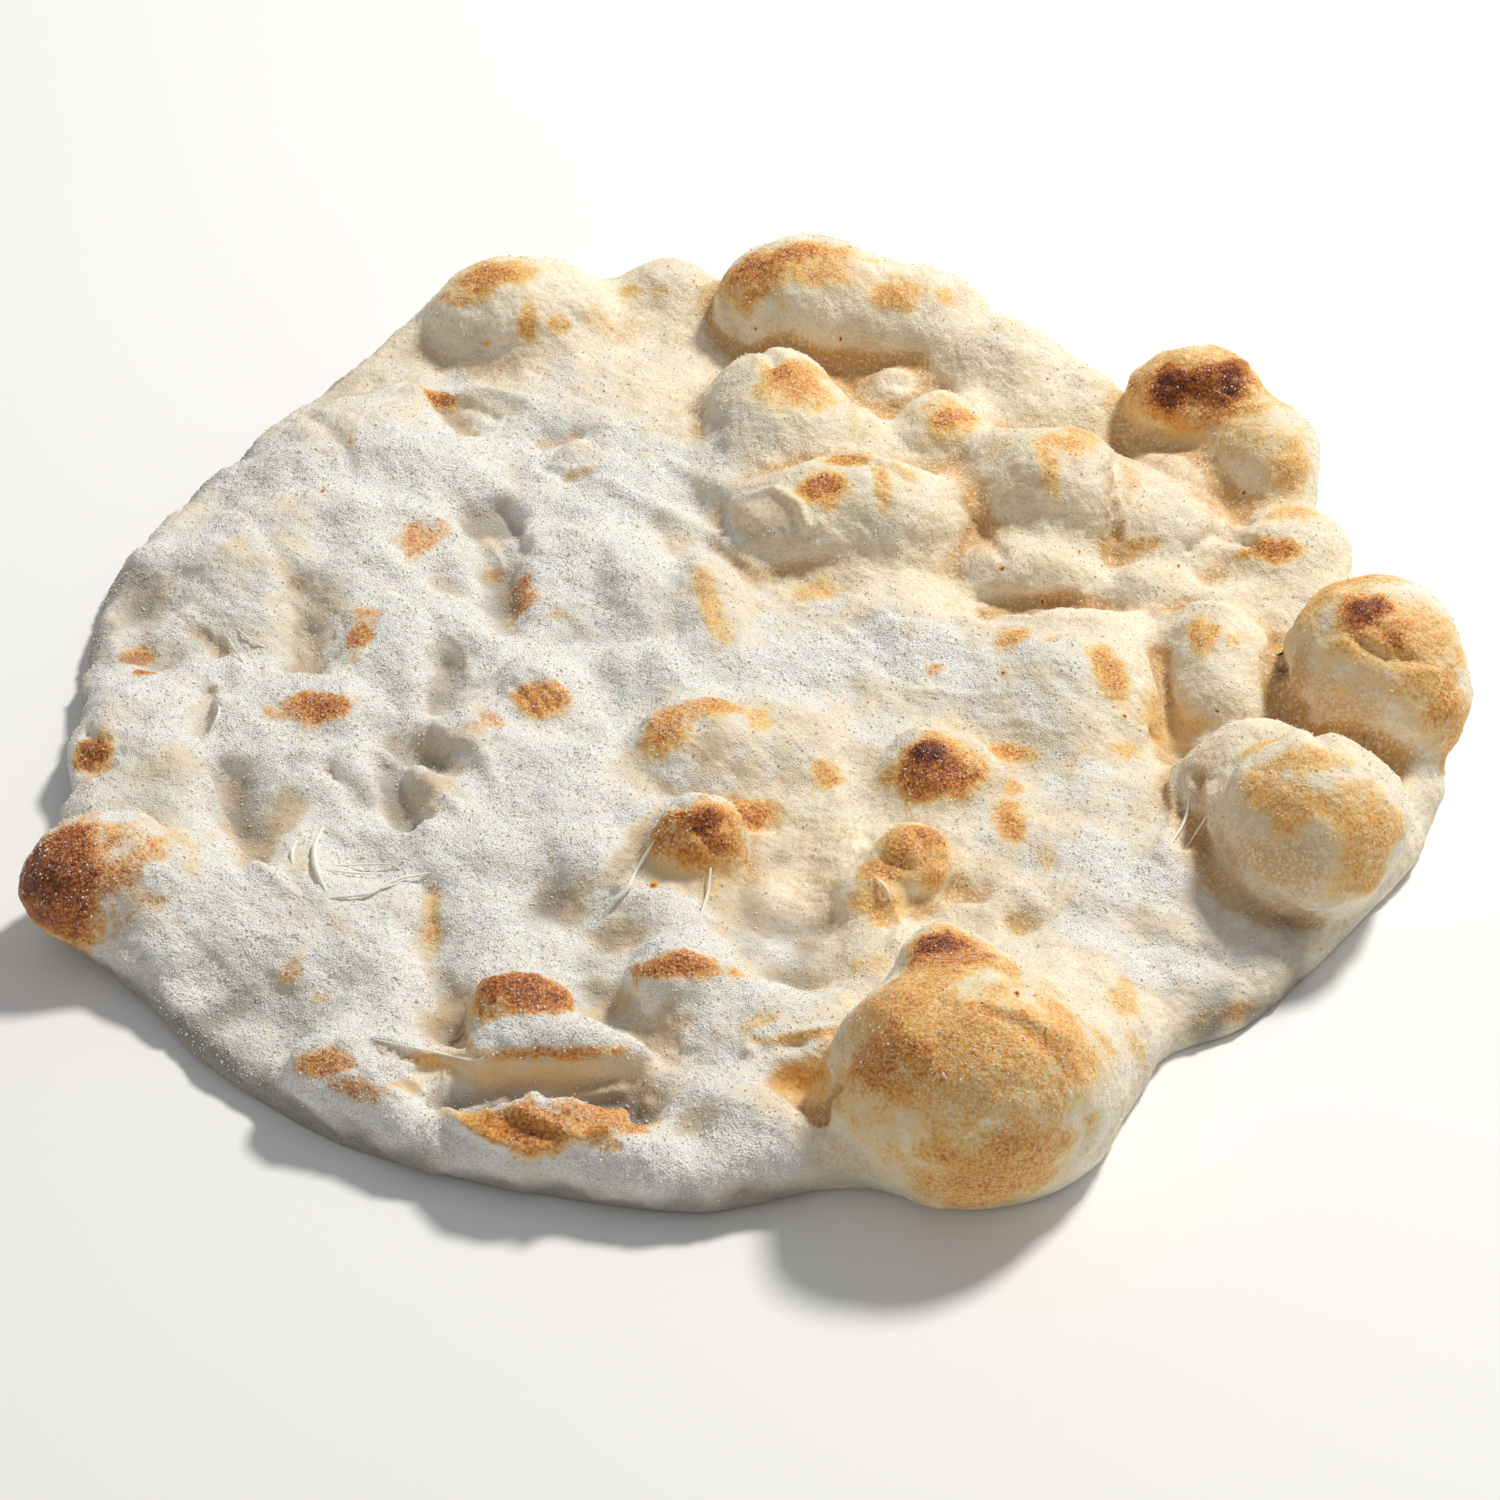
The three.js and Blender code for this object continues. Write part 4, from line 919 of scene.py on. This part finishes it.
def dough_material():
    s = Shader("baked_dough")
    place = s.place()
    grain, specks, pimples, blotches = [s.noise(place, *row) for row in NOISES]
    toast, flour, tan = s.attribute("toast"), s.attribute("flour"), s.attribute("tan")
    taut, shade = s.attribute("taut"), s.attribute("shade")

    # bare dough, from cream to tan, the tan partly painted warm shade
    cream = s.mix(s.step(blotches, 0.35, 0.7), CREAM, CREAM_DARK)
    dough = s.mix(s.step(s.stirred(tan, pimples, 0.5), 0.05, 1.1), cream, TAN_DOUGH)
    dough = s.mix(s.times(s.step(specks, 0.5, 0.68), 0.6), dough, SPECK_WHITE)
    dough = s.mix(s.times(s.step(specks, 0.5, 0.34), 0.3), dough, TAN_DOUGH)

    # toast: noise moves its edges and speckles it, but makes none where there is no toast
    stir = s.times(s.math("SUBTRACT", blotches, 0.5), 0.5)
    stir = s.stirred(s.stirred(stir, pimples, 0.5), specks, 2.1)
    stirred = s.times_plus(stir, s.times(s.step(toast, 0.03, 0.4), 0.4), toast)
    ramp = s.ramp(s.math("DIVIDE", stirred, TOAST_RANGE), TOAST_RAMP)
    dough = s.mix(s.step(stirred, 0.04, 0.36), dough, ramp)

    # flour: thick where the attribute is near 1, and single specks where it is low
    wanted = s.times_plus(grain, 0.9, s.times(specks, 0.5))
    covered = s.step(s.math("SUBTRACT", s.times(flour, 1.35), wanted), -0.35, 0.25)
    # painted shade: dough under flour and in the floured hollows darkens toward SHADED_DOUGH
    shaded = s.math("MAXIMUM", s.times(flour, 0.6), s.step(shade, 0.05, 0.9))
    under = s.mix(shaded, dough, SHADED_DOUGH)
    flour_colour = s.mix(s.step(grain, 0.32, 0.62), FLOUR_GREY, FLOUR_WHITE)
    colour = s.mix(covered, s.mix(s.step(toast, 0.1, 0.5), under, dough), flour_colour)

    # white semolina specks on toast
    white = s.times(s.step(grain, 0.57, 0.68), s.step(toast, 0.15, 0.5))
    white = s.times(white, s.math("SUBTRACT", 1.0, taut, clamp=True))
    white = s.times(white, s.times_plus(s.step(toast, 0.6, 1.0), -0.45, 0.55))
    colour = s.mix(white, colour, SPECK_WHITE)

    # the rim's foot darkened to grey low down: partly painted shade, partly bare grey dough
    colour = s.mix(s.times(s.attribute("foot"), 0.8), colour, FOOT_SHADE_GREY)
    s.set("Base Color", colour)

    s.set("Roughness", s.times_plus(covered, 0.25, s.times_plus(toast, -0.15, 0.68)))
    untaut = s.math("SUBTRACT", 1.0, s.times(taut, 0.85), clamp=True)
    fine = s.times(grain, s.times_plus(flour, 0.9, 0.25))
    s.set("Normal", s.bump(s.times(s.times_plus(pimples, 1.2, fine), untaut), *BUMP))
    for name, value in DOUGH_SURFACE.items():
        s.set(name, value)
    return s.material


def plain_material(name):
    """Two near colours mottled by noise, with a fine bump."""
    low, high, size, roughness, height = PLAIN_LOOKS[name]
    s = Shader(name)
    mottle = s.noise(s.place(), size)
    s.set("Base Color", s.mix(s.step(mottle, 0.35, 0.65), linear(*low), linear(*high)))
    s.set("Roughness", roughness)
    s.set("Normal", s.bump(mottle, height * MM, 0.5))
    return s.material


# ---- The scene.
def add_floor():
    mesh = bpy.data.meshes.new("floor")
    corners = [(-1, -1), (1, -1), (1, 1), (-1, 1)]
    mesh.from_pydata([(FLOOR_REACH * x, FLOOR_REACH * y, 0) for x, y in corners], [], [(0, 1, 2, 3)])
    floor = bpy.data.objects.new("floor", mesh)
    bpy.context.scene.collection.objects.link(floor)
    floor.location.z = -FLOOR_GAP
    mesh.materials.append(plain_material("pale_floor"))


def add_camera():
    data = bpy.data.cameras.new("camera")
    camera = bpy.data.objects.new("camera", data)
    bpy.context.scene.collection.objects.link(camera)
    camera.location = EYE * MM
    camera.rotation_euler = (math.pi / 2 - CAMERA_HEIGHT_ANGLE, 0, 0)
    data.sensor_width = SENSOR
    data.lens = SENSOR * CAMERA_DISTANCE / FRAME_WIDTH
    bpy.context.scene.camera = camera


def add_lights():
    data = bpy.data.lights.new("key", "AREA")
    data.shape = "DISK"
    data.size = KEY_SIZE
    data.energy = KEY_POWER
    data.color = KEY_COLOUR
    key = bpy.data.objects.new("key", data)
    bpy.context.scene.collection.objects.link(key)
    level = math.cos(KEY_HEIGHT)
    way = Vector((math.cos(KEY_AZIMUTH) * level, math.sin(KEY_AZIMUTH) * level, math.sin(KEY_HEIGHT)))
    key.location = way * KEY_DISTANCE
    key.rotation_euler = way.to_track_quat("Z", "Y").to_euler()
    world = bpy.data.worlds.new("sky")
    world.use_nodes = True
    background = world.node_tree.nodes["Background"]
    background.inputs["Color"].default_value = SKY_COLOUR
    background.inputs["Strength"].default_value = SKY_STRENGTH
    bpy.context.scene.world = world
    bpy.context.scene.view_settings.view_transform = "Standard"


def kept_inside(points):
    """The points, held inside the solid's box."""
    low, high = [np.array(corner) / MM for corner in CAD_BOX]
    return np.clip(points, low + BOX_GAP, high - BOX_GAP)


def dress(piece, material):
    piece.data.materials.append(material)
    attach(piece, "root")
    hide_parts("crust")


def build_base():
    points, triangles = solid_mesh()
    points, triangles = cut_finer(points, triangles, CUTS)
    points, edges, counts = settled_dough(points, triangles)
    normals = point_normals(points, triangles)

    wobble = rippled(0, points, EDGE_RIPPLES)
    toast = marks(points, normals, SPOTS, wobble, inner=0.35, outer=1.75)
    tan = marks(points, normals, TAN_AND_SHADE, wobble, inner=0.1, outer=1.7)
    taut = marks(points, normals, TAUT, wobble, inner=0.5, outer=1.5)
    thin_and_shade = marks(points, normals, THIN_FLOUR_AND_SHADE, wobble)
    shift = np.stack([rippled(0, points, rows) for rows in FLOUR_SHIFTS], 1)
    floured = level_marks(points + shift, FLOUR)
    flour = np.clip(rippled(floured, points, FLOUR_RIPPLES), 0, 1)
    dots = [(x, y, width, width / SEEN_UP[1], DOT_STRENGTH) for x, y, width in DOTS]
    toast = np.maximum(toast, marks(points, normals, dots, None))

    hollow = hollowness(points, normals, edges, counts)
    # painted shade in the valleys: warm tan, and thin flour over shaded dough
    tan = np.maximum(TAN_SHARE * tan, rising(*VALLEY_SHADE_TAN, hollow))
    thin_and_shade = np.maximum(thin_and_shade, rising(*VALLEY_THIN_AND_SHADE, hollow))

    skin = np.clip(taut, 0, 1)
    flour *= STEEP_FLOUR + rising(1 - STEEP_FLOUR, -0.1, 0.55, normals[:, 2])
    flour *= 1 - THIN_LOSS * np.clip(thin_and_shade, 0, 1)
    flour *= 1 - THIN_LOSS * skin
    flour *= 1 - rising(*TOAST_LOSS, toast)

    points += normals * relief(points, normals, skin, flour)[:, None]
    points = kept_inside(points)
    normals = point_normals(points, triangles)

    # painted shade, partly bare grey dough: a grey band low on the floured rim
    foot = smooth_step(FOOT_TOP, FOOT_FULL, rippled(points[:, 2], points, FOOT_RIPPLES))
    foot *= smooth_step(0, 0.5, floured)
    # painted shade in the floured hollows
    shade = thin_and_shade * smooth_step(0.25, 0.7, floured)
    attributes = {"toast": toast, "flour": flour, "tan": tan, "taut": taut, "foot": foot, "shade": shade}
    dress(make_mesh("baked_crust", points, triangles, attributes), dough_material())

    made, faces = dough_strings(points, normals)
    dress(make_mesh("dough_strings", kept_inside(made), faces), plain_material("string_dough"))

    wanted = GRAIN_SHARE_BARE + flour + rising(*GRAIN_SHARE_TOAST, toast) * (1 - skin)
    density = wanted * (points[:, 2] > GRAIN_LOWEST) * smooth_step(-0.1, 0.5, normals[:, 2])
    for k, (name, (look, *grains)) in enumerate(GRAINS.items()):
        made, faces = scattered_grains(points, triangles, normals, density, *grains, SEED + 30 + k)
        dress(make_mesh(name, kept_inside(made), faces), plain_material(look))


add_camera()
add_lights()
add_floor()
build_base()
